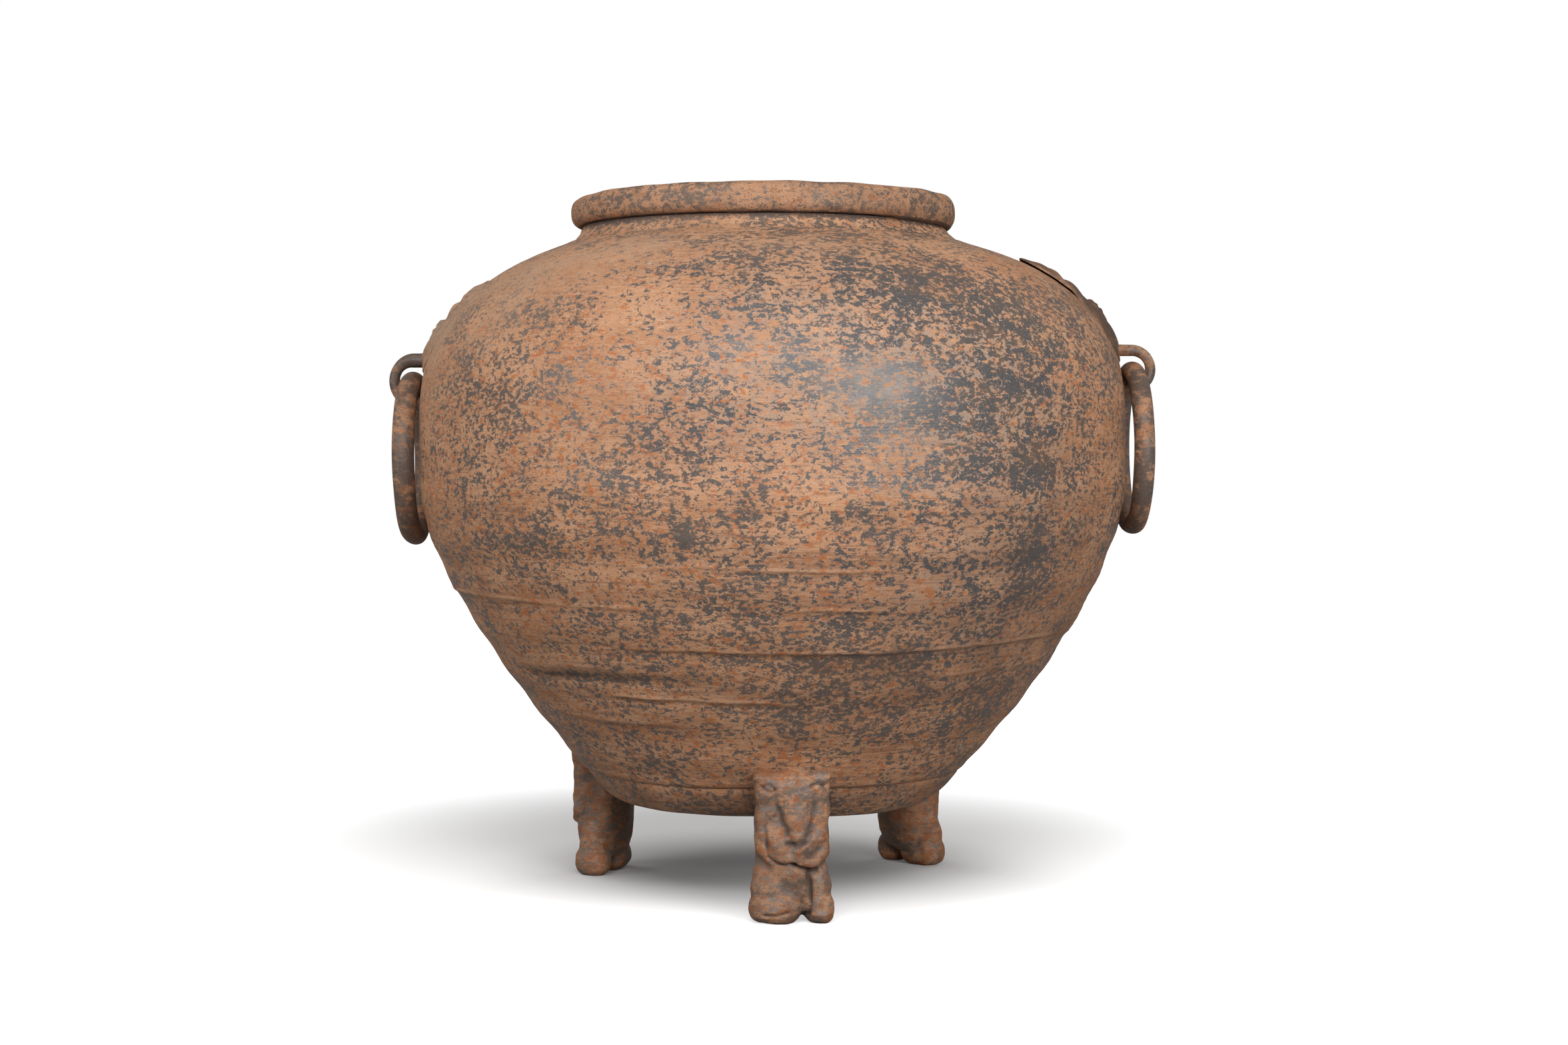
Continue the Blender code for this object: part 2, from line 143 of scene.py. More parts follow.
def climbed(height, distance):
    """The height reached by going that distance up along the outer wall."""
    start = np.interp(height, CLIMB_HEIGHTS, CLIMB)
    return np.interp(start + distance, CLIMB, CLIMB_HEIGHTS)


def soft_step(low, high, value):
    """0 below low, 1 above high and a smooth turn between."""
    share = np.clip((value - low) / (high - low), 0, 1)
    return share * share * (3 - 2 * share)


def uneven(azimuth, height, seed, wave, count=9):
    """Slow, seamless ups and downs of about -1 to 1, with waves down to that length."""
    rng = np.random.default_rng(seed)
    most = max(round(math.tau * BELLY_RADIUS / wave), 1)
    total = 0
    for _ in range(count):
        turns = rng.integers(0, most + 1)
        climb = rng.uniform(-1, 1) * math.tau / wave
        phase = rng.uniform(0, math.tau)
        total = total + np.sin(turns * azimuth + climb * height + phase)
    return total / math.sqrt(count)


# What the potter's hands left on the outside: each coil's edge as (azimuth in degrees, height in
# mm), then its crest, the step down under it and the trough below, and its width, all in mm
COIL_EDGES = (
    (((-86, 227.0), (-72, 225.7), (-51, 224.7), (-38, 223.0), (-16, 221.0)), 0.9, 0.5, 0.3, 1.6),
    (((-26, 251.0), (-11, 249.7), (0, 248.2), (8, 246.7), (22, 247.4)), 0.7, 0.5, 0.2, 1.5),
    (((-32, 194.6), (-18, 192.2), (2, 191.5), (19, 191.1), (37, 193.6), (56, 196.3), (96, 193.5)),
     0.8, 1.3, 0.5, 1.4),
    (((-66, 176.5), (-58, 176.0), (-42, 176.8), (-19, 174.5), (-8, 174)), 0.2, 0.6, 1.9, 2.2),
    (((-42, 158.6), (-37, 158.1), (-16, 156.1), (2, 154.5), (12, 154)), 0.7, 0.7, 0.4, 1.4),
    (((-10, 220.2), (-2, 219.9), (14, 221.2), (34, 218.3)), 0.6, 0.2, 0.2, 1.2),
    (((28, 172.0), (45, 175.0), (70, 178.0)), 0.4, 0.5, 0.5, 1.6),
    (((-60, 142.0), (-40, 139.0), (-18, 137.5)), 0.4, 0.3, 0.4, 2.0),
    (((100, 226.0), (135, 222.5), (178, 224.0)), 0.8, 0.6, 0.4, 1.6),
    (((112, 193.0), (150, 189.5), (178, 192.0)), 0.7, 1.0, 0.6, 1.5),
    (((-178, 192.5), (-140, 194.5), (-104, 190.0)), 0.7, 1.0, 0.6, 1.5),
    (((-176, 249.0), (-150, 251.0), (-100, 247.0)), 0.7, 0.5, 0.3, 1.6),
    (((84, 160.0), (120, 156.0), (165, 158.0)), 0.6, 0.8, 0.7, 1.8),
    (((-170, 155.0), (-130, 158.5), (-95, 156.0)), 0.6, 0.6, 0.9, 1.8),
    (((150, 125.0), (178, 123.0)), 0.5, 0.5, 0.4, 1.8),
)
# Where the wall stands out or falls back from its turned form: azimuth, height, how far it
# reaches in degrees and mm, and how much, in mm
SWELLS = (
    (92, 150, 42, 55, 3.6),
    (90, 222, 30, 26, 1.6),
    (-90, 432, 34, 26, -2.6),
    (40, 260, 30, 40, 0.7),
    (-150, 300, 45, 60, -1.2),
    (150, 380, 40, 45, 1.0),
    (-18, 168, 16, 10, -0.5),
)


# A coil's edge on its way round: how far it wanders, in mm, and over what length, the degrees in
# which its ends fade, how its strength varies, and how far up the ledge over a step reaches, in mm
EDGE_WANDER, WANDER_LENGTH = 0.7, 60 * MM
EDGE_FADE = 9
EDGE_STRENGTH, STRENGTH_VARIES, STRENGTH_LENGTH = 0.75, 0.35, 90 * MM
LEDGE_REACH = 15
EDGE_DEPTH = 1.25
# The outside is set back by this much, in mm, so that no swell stands past the turned belly
SET_BACK = 0.3
# How far apart the coils and the fine turning marks lie
COIL_RISE, TURNING_RISE = 32 * MM, 6.5 * MM
# The groove where the wall meets the dish and the lip pressed up over it: how deep or high in mm,
# how far above the seam and how wide
SEAM_GROOVE, SEAM_LIP = (0.9, 0.0, 1.1 * MM), (0.5, 4 * MM, 2.6 * MM)


def coil_edge(azimuth, height, edge):
    """The relief of one coil's edge, in mm, fading out at its ends."""
    run, crest, step, trough, width = edge
    along = np.degrees(azimuth)
    places, heights = np.array(run, float).T
    seed = 1000 + int(places[0] + heights[0])
    wander = EDGE_WANDER * uneven(azimuth, 0, seed, WANDER_LENGTH)
    up = height / MM - (np.interp(along, places, heights) + wander)
    fade = soft_step(places[0], places[0] + EDGE_FADE, along)
    fade = fade * (1 - soft_step(places[-1] - EDGE_FADE, places[-1], along))
    strength = EDGE_STRENGTH + STRENGTH_VARIES * uneven(azimuth, 0, seed + 500, STRENGTH_LENGTH)
    ledge = np.exp(-np.maximum(up, 0) / LEDGE_REACH)
    relief = crest * np.exp(-((up / width) ** 2))
    relief += step * 0.5 * (1 + np.tanh(up / (1.3 * width))) * ledge
    relief -= trough * np.exp(-(((up + 2.8 * width) / (2.4 * width)) ** 2))
    return EDGE_DEPTH * relief * fade * strength


def skin(azimuth, height):
    """How far the real outside stands from the turned form, in metres."""
    relief = 0.55 * uneven(azimuth, height, 11, 330 * MM) - SET_BACK
    relief = relief + 0.22 * uneven(azimuth, height, 12, 80 * MM)
    lower = 1 - soft_step(250 * MM, 330 * MM, height)
    coils = np.sin(math.tau * (height / COIL_RISE + 0.12 * uneven(azimuth, 0, 13, 400 * MM)))
    relief += (0.12 + 0.42 * lower) * coils
    drift = 1.3 * uneven(azimuth, height, 14, 150 * MM)
    turning = np.sin(math.tau * height / TURNING_RISE + drift)
    relief += 0.06 * turning * (0.6 + 0.5 * uneven(azimuth, height, 15, 120 * MM))
    for edge in COIL_EDGES:
        relief += coil_edge(azimuth, height, edge)
    for place, middle, across, up, amount in SWELLS:
        away = (np.degrees(azimuth) - place + 180) % 360 - 180
        relief += amount * np.exp(-((away / across) ** 2) - ((height / MM - middle) / up) ** 2)
    for (amount, above, wide), way in ((SEAM_GROOVE, -1), (SEAM_LIP, 1)):
        relief += way * amount * np.exp(-(((height - DISH_SEAM[1] - above) / wide) ** 2))
    joined = soft_step(NECK_FOOT[1] - 4 * MM, NECK_FOOT[1], height)
    return relief * (1 - joined) * MM


def wear_and_trough_shade(azimuth, height):
    """How worn and pale the wall is, 1 on a coil's crest, and below 0 in the trough under it,
    where the material paints shade.
    """
    total = 0.0
    for edge in COIL_EDGES:
        run, crest, step, trough, width = edge
        pale = (run, 1.0, 0.2, 0.4 * trough, width * 0.9)
        total = total + coil_edge(azimuth, height, pale) * min(crest + step, 1.2)
    return np.clip(total, -1, 1)


def finger_rings(azimuth, height):
    """Relief of the inside, where the fingers ran round as the wall rose, in metres."""
    rings = np.sin(math.tau * (height / (10.5 * MM) + azimuth / math.tau))
    return (0.55 * rings + 0.5 * uneven(azimuth, height, 21, 200 * MM)) * MM


def lean(height):
    """How far the neck's end is shifted to the left at a height."""
    share = np.clip((height - RIM_SEAT[1] + SHIFT_RISE) / SHIFT_RISE, 0, 1)
    return RIM_SHIFT * share**2


# Meshes


def placed(name, data):
    """An object of that data, put in the scene."""
    made = bpy.data.objects.new(name, data)
    bpy.context.scene.collection.objects.link(made)
    return made


def mesh_object(name, places, *groups, sharp=50):
    """A closed mesh with its faces outward, smooth but for edges sharper than that angle. The
    faces come in groups, each with its own number of corners."""
    faces = [face for group in groups for face in np.asarray(group).tolist()]
    data = bpy.data.meshes.new(name)
    data.from_pydata(np.asarray(places).reshape(-1, 3).tolist(), [], faces)
    mesh = bmesh.new()
    mesh.from_mesh(data)
    bmesh.ops.remove_doubles(mesh, verts=mesh.verts, dist=SAME_PLACE)
    bmesh.ops.recalc_face_normals(mesh, faces=mesh.faces)
    mesh.to_mesh(data)
    mesh.free()
    data.shade_smooth()
    data.set_sharp_from_angle(angle=math.radians(sharp))
    return placed(name, data)


def corners(data, layer="vertices", key="co"):
    """The places of a mesh's corners, a row each, or another triple that a layer keeps."""
    values = np.empty(len(data.vertices) * 3)
    getattr(data, layer).foreach_get(key, values)
    return values.reshape(-1, 3)


def mark(made, name, values):
    """Keeps a value for each corner, for the material to wear, stain or dust by, or to paint shade
    or sheen by.
    """
    layer = made.data.attributes.new(name, "FLOAT", "POINT")
    layer.data.foreach_set("value", np.clip(values, -2, 2))


def mark_wear_and_hollow_shade(made, depth, rounds=14):
    """Marks each corner by how far it stands from its smoothed surroundings: above 0 on a crest,
    which the material rubs pale, and below 0 in a hollow, where it paints shade.
    """
    places = corners(made.data)
    count = len(places)
    edges = np.empty(len(made.data.edges) * 2, int)
    made.data.edges.foreach_get("vertices", edges)
    a, b = edges.reshape(-1, 2).T
    neighbours = np.bincount(a, minlength=count) + np.bincount(b, minlength=count)
    smooth = places
    for _ in range(rounds):
        total = [
            np.bincount(a, smooth[b, i], count) + np.bincount(b, smooth[a, i], count)
            for i in range(3)
        ]
        smooth = np.stack(total, 1) / neighbours[:, None]
    proud = ((places - smooth) * corners(made.data, "vertex_normals", "vector")).sum(1)
    mark(made, "crest", np.clip(proud / depth, -1, 1))


def grid_faces(rows, columns, close_rows=True, close_columns=True):
    """Corners of the faces of a grid of points, joined end to end where it closes."""
    i = np.arange(rows if close_rows else rows - 1)[:, None]
    j = np.arange(columns if close_columns else columns - 1)[None, :]
    near, far = i * columns, (i + 1) % rows * columns
    right = (j + 1) % columns
    return np.stack([near + j, near + right, far + right, far + j], -1).reshape(-1, 4)


# Where the dark slip has stayed or gone, where dust has settled, where a thin film of slip greys
# the clay, partly as painted sheen where the highlight falls, and where smoke has darkened the
# clay: azimuth in degrees, height, reach across and up in mm, and how much more or less of it
STAINS = {
    "kept": (
        (19, 434, 42, 30, 0.5),
        (30, 427, 45, 30, 0.8),
        (42, 412, 45, 40, 0.8),
        (-5, 454, 32, 14, 0.9),
        (16, 374, 66, 30, 0.9),
        (-4, 388, 60, 16, 0.4),
        (25, 345, 44, 22, 0.7),
        (27, 318, 34, 18, 0.4),
        (38, 364, 38, 14, 0.9),
        (27, 366, 26, 12, 0.5),
        (42, 318, 26, 20, 1.3),
        (43, 280, 34, 30, 0.9),
        (47, 240, 26, 26, 1.1),
        (-53, 316, 22, 34, 0.7),
        (-35, 373, 18, 12, 0.9),
        (-43, 344, 22, 26, 0.5),
        (-12, 269, 14, 10, 0.9),
        (-8, 286, 80, 14, 0.5),
        (-37, 262, 60, 14, 0.6),
        (11, 201, 70, 30, 0.5),
        (24, 167, 60, 26, 0.7),
        (10, 143, 60, 14, 0.6),
        (48, 140, 40, 30, 0.7),
        (-48, 190, 40, 34, -0.8),
        (-36, 140, 50, 26, -0.7),
        (-20, 392, 70, 34, -0.7),
        (-42, 450, 80, 22, -1.3),
        (60, 455, 60, 14, -1.3),
        (-75, 340, 60, 80, -0.6),
        (100, 330, 90, 90, 0.5),
        (150, 400, 110, 60, 0.7),
        (-160, 300, 120, 60, 0.4),
        (180, 180, 120, 50, 0.6),
        (-120, 180, 80, 50, -0.4),
    ),
    "dusty": (
        (-60, 445, 110, 50, 0.8),
        (-74, 390, 55, 50, 0.6),
        (-15, 472, 120, 20, 0.5),
        (50, 470, 50, 12, 0.3),
        (170, 460, 200, 34, 0.6),
        (-130, 400, 110, 60, 0.5),
    ),
    # A thin film of slip, and painted sheen: it greys the clay and the slip where the lamps'
    # highlight falls
    "slip_film_and_painted_sheen": (
        (14, 375, 110, 60, 1.0),
        (34, 330, 90, 90, 0.8),
        (-12, 360, 70, 60, 0.4),
        (0, 440, 120, 30, 0.4),
        (40, 210, 90, 60, 0.4),
        (5, 240, 110, 40, 0.3),
        (150, 380, 160, 90, 0.8),
        (-120, 300, 110, 90, 0.6),
    ),
    "sooty": (
        (46, 240, 90, 80, 0.4),
        (74, 425, 75, 45, 1.0),
        (84, 370, 50, 60, 0.7),
        (88, 270, 60, 80, 0.6),
        (40, 180, 200, 50, 0.45),
        (-10, 160, 200, 30, 0.2),
        (45, 300, 60, 60, 0.3),
        (15, 440, 110, 26, 0.3),
        (0, 80, 130, 12, 0.6),
        (60, 80, 130, 12, 0.5),
        (-60, 80, 130, 12, 0.4),
        (-150, 250, 120, 90, 0.4),
        (140, 330, 90, 60, 0.4),
    ),
}


def stained(places, stains):
    """How much of a stain there is at each place."""
    total = 0
    for degrees, height, across, up, amount in stains:
        azimuth, radius = math.radians(degrees), float(wall_radius(height * MM))
        middle = np.array((radius * math.sin(azimuth), -radius * math.cos(azimuth), height * MM))
        away = np.linalg.norm((places - middle) / (np.array((across, across, up)) * MM), axis=1)
        total = total + amount * (1 - soft_step(0, 1.6, away))
    return total


def dressed(piece, body, slot, material, *nodes):
    """The piece takes its stains and material, rides on its body and stands for those solids."""
    if slot == "body_clay":
        places = corners(piece.data)
        for name, stains in STAINS.items():
            mark(piece, name, stained(places, stains))
    piece.data.materials.append(material)
    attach(piece, body)
    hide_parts(*nodes)


# Which relief a row of a turned piece takes
PLAIN, OUTSIDE, INSIDE = 0, 1, 2


def outer_rows(low, high, step):
    """Rows of the outer wall as (radius, height, normal out, normal up, which relief)."""
    start, end = np.interp((low, high), CLIMB_HEIGHTS, CLIMB)
    steps = max(round((end - start) / step), 2)
    heights = climbed(low, np.linspace(0, end - start, steps + 1))
    out, up = wall_normal(heights)
    return np.stack([wall_radius(heights), heights, out, up, np.full_like(out, OUTSIDE)], 1)


def inner_rows(high, low, step):
    """Rows of the inside, going down, one wall's thickness in from the outside."""
    radius, height, out, up = outer_rows(low, high, step)[::-1, :4].T
    kind = np.full_like(out, INSIDE)
    return np.stack([radius - out * WALL, height - up * WALL, -out, -up, kind], 1)


def plain_rows(*points):
    """Rows with no relief, from (radius, height)."""
    return np.array([(radius, height, 0, 0, PLAIN) for radius, height in points], float)


def thrown(name, rows):
    """A closed outline turned about the jar's axis, with the relief of each row on it."""
    radius, height, out, up, kind = (rows[:, i : i + 1] for i in range(5))
    relief = np.where(kind == OUTSIDE, skin(ROUND, height), 0)
    relief = relief + np.where(kind == INSIDE, finger_rings(ROUND, height), 0)
    radius, height = radius + out * relief, height + up * relief
    x, y = radius * np.sin(ROUND) - lean(height), -radius * np.cos(ROUND)
    made = mesh_object(name, np.stack([x, y, height], -1), grid_faces(len(rows), COLUMNS))
    x, y, z = corners(made.data).T
    # The neck under the rim's overhang is marked as a hollow, so that the material paints the
    # rim's shadow on it
    rim_overhang_shade = soft_step(NECK_FOOT[1] + 6.5 * MM, RIM_SEAT[1] - 0.8 * MM, z)
    mark(made, "crest", np.clip(wear_and_trough_shade(np.arctan2(x, -y), z) - rim_overhang_shade, -1, 1))
    return made


# The turned pieces


# The dish's floor inside: its radius, and how high the finger's rings on it stand and how wide
# they are
DISH_FLOOR_RADIUS = 108 * MM
FLOOR_RINGS = (0.4 * MM, 5 * MM)
# The gap that the walls leave each other at their seam, and the rim coil leaves the lip
SEAM_GAP, RIM_GAP = 0.05 * MM, 0.3 * MM
# The rim rises by this much from its middle to its right end, and is set down by as much and a
# little more, so that it stays under the jar's height
RIM_TILT, RIM_DROP = 0.65 * MM, 0.35 * MM
# How far the clay squeezed out under the rim hangs, and from where to where in degrees
SQUEEZED = 2.2 * MM
SQUEEZED_FROM, SQUEEZED_TO = (40, 46), (104, 118)


def base_dish():
    """The dish under the jar, its curved side meeting the wall at the groove."""
    out, up = wall_normal(DISH_SEAM[1])
    bend = DISH_SEAM[0] + up / out * (DISH_SEAM[1] - BASE_FLAT[1])
    t = np.linspace(0, 1, 22)
    radius = BASE_FLAT[0] * (1 - t) ** 2 + 2 * bend * t * (1 - t) + DISH_SEAM[0] * t**2
    height = BASE_FLAT[1] * (1 - t**2) + DISH_SEAM[1] * t**2
    along = np.gradient(np.stack([radius, height], 1), axis=0)
    along /= np.linalg.norm(along, axis=1)[:, None]
    side = np.stack([radius, height, along[:, 1], -along[:, 0], np.full_like(t, OUTSIDE)], 1)
    flat = plain_rows(*((r, BASE_FLAT[1]) for r in np.linspace(0, BASE_FLAT[0], 12)[:-1]))
    edge = inner_rows(DISH_SEAM[1] + 1 * MM, DISH_SEAM[1], 1 * MM)[-1, 0]
    rise, wide = FLOOR_RINGS
    floor = [
        (r, BASE_FLAT[1] + DISH_FLOOR + rise * math.cos(r / wide))
        for r in np.linspace(DISH_FLOOR_RADIUS, 0, 40)
    ]
    inside = plain_rows((edge, DISH_SEAM[1]), *floor)
    return thrown("base_dish_clay", np.concatenate([flat, side, inside]))


def lower_wall():
    """The coil-built lower half, with the edges of its coils still to be seen."""
    foot = DISH_SEAM[1] + SEAM_GAP
    outer = outer_rows(foot, SEAM_HEIGHT, step=1.15 * MM)
    middle = inside_radius(SEAM_HEIGHT, 0.5)
    lap = plain_rows((middle, SEAM_HEIGHT), (middle, SEAM_HEIGHT + SEAM_LAP))
    inner = inner_rows(SEAM_HEIGHT + SEAM_LAP, DISH_SEAM[1] + 2 * MM, step=4.5 * MM)
    seat = plain_rows((inside_radius(DISH_SEAM[1]), foot))
    return thrown("lower_wall_clay", np.concatenate([outer, lap, inner, seat]))


def upper_wall():
    """The belly, shoulder and neck, with finer rows where coil edges are near its foot."""
    foot = SEAM_HEIGHT + 0.02 * MM
    fine = SEAM_HEIGHT + 14 * MM
    outer = [
        outer_rows(foot, fine, step=1.05 * MM)[:-1],
        outer_rows(fine, NECK_FOOT[1], step=2.3 * MM),
    ]
    neck = plain_rows(
        NECK_WAIST,
        (136.2 * MM, 488.8 * MM),
        RIM_SEAT,
        (LIP[1], RIM_SEAT[1]),
        (LIP[1], RIM_SEAT[1] + LIP[2]),
        (LIP[0], RIM_SEAT[1] + LIP[2]),
        (LIP[0], RIM_SEAT[1]),
        (NECK_INSIDE, RIM_SEAT[1]),
        (NECK_INSIDE, 484 * MM),
    )
    inner = inner_rows(NECK_FOOT[1] - 3 * MM, SEAM_HEIGHT + SEAM_LAP + 8 * MM, step=6 * MM)
    ledge = SEAM_HEIGHT + SEAM_LAP + SEAM_GAP
    middle = inside_radius(SEAM_HEIGHT, 0.5) + SEAM_GAP
    lap = plain_rows((inside_radius(ledge), ledge), (middle, ledge), (middle, foot))
    return thrown("upper_wall_clay", np.concatenate([*outer, neck, inner, lap]))


def rim_coil():
    """The rolled rim, a little higher on the right, with clay squeezed out under it there."""
    turn = np.linspace(-math.pi / 2, 1.5 * math.pi, 49)[1:-1][:, None]
    across, up = np.cos(turn), np.sin(turn)
    reach = (abs(across) ** RIM_SQUARENESS + abs(up) ** RIM_SQUARENESS) ** (-1 / RIM_SQUARENESS)
    worn = 1 + 0.022 * uneven(ROUND, 30 * MM * turn, 31, 70 * MM)
    out_of_round = 0.35 * MM * uneven(ROUND, 0, 32, 300 * MM)
    radius = RIM_MIDDLE[0] + out_of_round + across * reach * worn * RIM_HALF[0]
    wave = 0.25 * MM * uneven(ROUND, 0, 33, 260 * MM)
    lift = RIM_TILT * (np.sin(ROUND) - 1) + wave - RIM_DROP
    height = RIM_MIDDLE[1] + up * reach * worn * RIM_HALF[1] + lift * soft_step(-1, 0.6, up)
    degrees = np.degrees(ROUND)
    squeezed = soft_step(*SQUEEZED_FROM, degrees) * (1 - soft_step(*SQUEEZED_TO, degrees))
    under = soft_step(-0.55, -0.95, up) * soft_step(0.0, 0.5, across)
    height = height - SQUEEZED * squeezed * under
    low, high = RIM_SEAT[1] + RIM_GAP, RIM_SEAT[1] + LIP[2] + RIM_GAP
    inner, outer = LIP[0] - RIM_GAP, LIP[1] + RIM_GAP
    groove = np.array(((inner, low), (inner, high), (outer, high), (outer, low)))
    radius = np.concatenate([radius, np.repeat(groove[:, :1], COLUMNS, 1)])
    height = np.concatenate([height, np.repeat(groove[:, 1:], COLUMNS, 1)])
    x, y = radius * np.sin(ROUND) - RIM_SHIFT, -radius * np.cos(ROUND)
    faces = grid_faces(len(height), COLUMNS)
    made = mesh_object("rim_clay", np.stack([x, y, height], -1), faces, sharp=60)
    # The rim's underside is marked as a hollow, so that the material paints the shade under the
    # rim there
    z = corners(made.data)[:, 2]
    mark(made, "crest", -soft_step(RIM_SEAT[1] + 1.7 * MM, RIM_SEAT[1] + 0.5 * MM, z))
    return made


# The masks. Runs of raised or cut forms, on both sides of the middle alike, as (across / width,
# up / height), then reach / width and rise / relief

MASK_WIDTH = 136 * MM
MASK_JAW = ((0.00, 0.00), (0.20, 0.00), (0.32, 0.03), (0.42, 0.10), (0.48, 0.22), (0.50, 0.35))
MASK_CREST = (
    *((0.00, 1.00), (0.08, 0.985), (0.15, 0.975), (0.22, 0.98)),
    *((0.30, 0.98), (0.38, 0.93), (0.46, 0.80), (0.50, 0.62)),
)
# How thick a mask is at its middle and how far its forms rise over that
MASK_PLATE, MASK_RELIEF = 2.6 * MM, 3.9 * MM
# How far a mask's back is pressed into the wall
MASK_BEDDING = 0.2 * MM
# Each mask's side, its lower end and height along the wall, the thickness of its edge, and how
# far its near edge has come off the wall
MASKS = {
    "left": (-1, 383.3 * MM, 88 * MM, 0.3 * MM, 0.0),
    "right": (1, 391.5 * MM, 108 * MM, 0.7 * MM, 1.7 * MM),
}
MASK_FORMS = {
    "muzzle": (((0.00, 0.12), (0.08, 0.10)), 0.075, 0.55),
    "nostril": (((0.045, 0.23),), 0.040, 0.80),
    "nose": (((0.00, 0.24), (0.00, 0.29)), 0.060, 1.05),
    "nose_bridge": (((0.00, 0.32), (0.00, 0.50)), 0.035, 0.30),
    "jowl": (((0.17, 0.12), (0.27, 0.22), (0.37, 0.29), (0.34, 0.38)), 0.070, 0.80),
    "jowl_curl": (((0.33, 0.40), (0.26, 0.36), (0.28, 0.30)), 0.028, 0.75),
    "eye": (((0.16, 0.39),), 0.075, 1.00),
    "eye_rim": (((0.09, 0.37), (0.14, 0.46), (0.21, 0.45), (0.25, 0.38)), 0.022, 0.70),
    "brow": (((0.05, 0.57), (0.15, 0.62), (0.28, 0.62), (0.39, 0.54)), 0.050, 0.70),
    "horn": (((0.11, 0.78), (0.19, 0.85), (0.32, 0.85), (0.38, 0.77), (0.30, 0.74)), 0.055, 0.75),
    "ear": (((0.44, 0.72), (0.46, 0.56)), 0.045, 0.70),
    "crest": (((0.00, 0.74), (0.00, 0.88)), 0.075, 0.75),
    "crest_leaf": (((0.03, 0.68), (0.07, 0.79), (0.03, 0.90)), 0.022, 0.60),
}
MASK_LINES = {
    "eye_slit": (((0.125, 0.38), (0.195, 0.40)), 0.010, 0.40),
    "mouth": (((0.00, 0.085), (0.11, 0.06), (0.20, 0.10), (0.25, 0.17)), 0.016, 0.45),
    "brow_hair_1": (((0.10, 0.63), (0.13, 0.71)), 0.010, 0.25),
    "brow_hair_2": (((0.18, 0.64), (0.20, 0.72)), 0.010, 0.25),
    "brow_hair_3": (((0.26, 0.63), (0.29, 0.70)), 0.010, 0.25),
    "cheek_1": (((0.40, 0.20), (0.33, 0.14)), 0.012, 0.30),
    "cheek_2": (((0.43, 0.28), (0.38, 0.22)), 0.012, 0.30),
    "crest_line": (((0.00, 0.72), (0.00, 0.95)), 0.010, 0.35),
}


def to_run(across, up, run):
    """Distance from places to the nearest point of a run."""
    points = np.array(run, float)
    nearest = np.hypot(across - points[0, 0], up - points[0, 1])
    for a, b in zip(points, points[1:]):
        way = b - a
        share = np.clip(((across - a[0]) * way[0] + (up - a[1]) * way[1]) / (way @ way), 0, 1)
        away = np.hypot(across - a[0] - share * way[0], up - a[1] - share * way[1])
        nearest = np.minimum(nearest, away)
    return nearest


def mask_relief(across, up, height):
    """How high a mask's forms stand, as a share of its relief, at places in metres."""
    size = np.array((MASK_WIDTH, height))
    raised = 0.0
    for run, reach, rise in MASK_FORMS.values():
        away = to_run(abs(across), up, np.array(run) * size)
        share = np.minimum(away / (reach * MASK_WIDTH), 1)
        raised = raised + (rise * (1 - share**2) ** 1.4) ** 3
    raised = np.cbrt(raised)
    for run, reach, depth in MASK_LINES.values():
        away = to_run(abs(across), up, np.array(run) * size)
        raised = raised - depth * np.exp(-((away / (reach * MASK_WIDTH)) ** 2))
    return raised


def mask(name):
    """A moulded animal mask bedded on the shoulder, the right one lifting along its near edge."""
    side, seat, height, edge, crack = MASKS[name]
    columns, rows = 150, 96
    s = np.sin(np.linspace(-math.pi / 2, math.pi / 2, columns))[:, None]
    t = np.linspace(-1, 1, rows)[None, :]
    across = s * MASK_WIDTH / 2
    low = np.interp(abs(s) / 2, *np.array(MASK_JAW).T) * height
    high = np.interp(abs(s) / 2, *np.array(MASK_CREST).T) * height
    up = low + (high - low) * (t + 1) / 2
    thin = (1 - s**4) * (1 - t**4)
    inner = thin * (1 - soft_step(0.4, 1.0, abs(s)) * 0.7) * (1 - soft_step(0.6, 1.0, t) * 0.5)
    rise = edge + (MASK_PLATE - edge) * np.sqrt(thin)
    rise = rise + MASK_RELIEF * mask_relief(across, up, height) * inner
    level = climbed(seat, up)
    radius = wall_radius(level)
    azimuth = side * (math.pi / 2 + across / radius)
    rise = rise + 0.18 * MM * uneven(azimuth, level, 41 + side, 22 * MM, 14) * thin
    bed = skin(azimuth, level)
    lift = crack * soft_step(0.36, 0.66, -s) * soft_step(-0.2, 0.6, t)
    out, upward = wall_normal(level)

    def sheet(off):
        r, z = radius + out * (bed + off), level + upward * (bed + off)
        places = [r * np.sin(azimuth) - lean(z), -r * np.cos(azimuth), z]
        return np.stack(places, -1).reshape(-1, 3)

    # The front and the back are sheets of the same grid, joined by a strip round their edges
    grid = np.arange(columns * rows).reshape(columns, rows)
    around = np.concatenate([grid[:, 0], grid[-1, 1:], grid[-2::-1, -1], grid[0, -2:0:-1]])
    following, count = np.roll(around, -1), columns * rows
    sides = np.stack([around, following, following + count, around + count], 1)
    flat = grid_faces(columns, rows, False, False)
    places = np.concatenate([sheet(rise + lift), sheet(lift - MASK_BEDDING)])
    faces = np.concatenate([flat, flat + count, sides])
    made = mesh_object("mask_" + name + "_clay", places, faces, sharp=70)
    mark_wear_and_hollow_shade(made, 0.9 * MM, 20)
    return made


# Loops and rings

RING_HEIGHTS = (376.8 * MM, 385.0 * MM)
RING_BARS = (16.5 * MM, 15.5 * MM)
RING_DIAMETER = 130 * MM
RING_PIVOT = 269.05 * MM
LOOP_BARS = ((10.5 * MM, 8.0 * MM), (8.5 * MM, 8.0 * MM))
EYE_SLACKS = (3.0 * MM, 4.0 * MM)
LOOP_OUTER = 287.0 * MM
RING_SEAT_GAP = 0.4 * MM
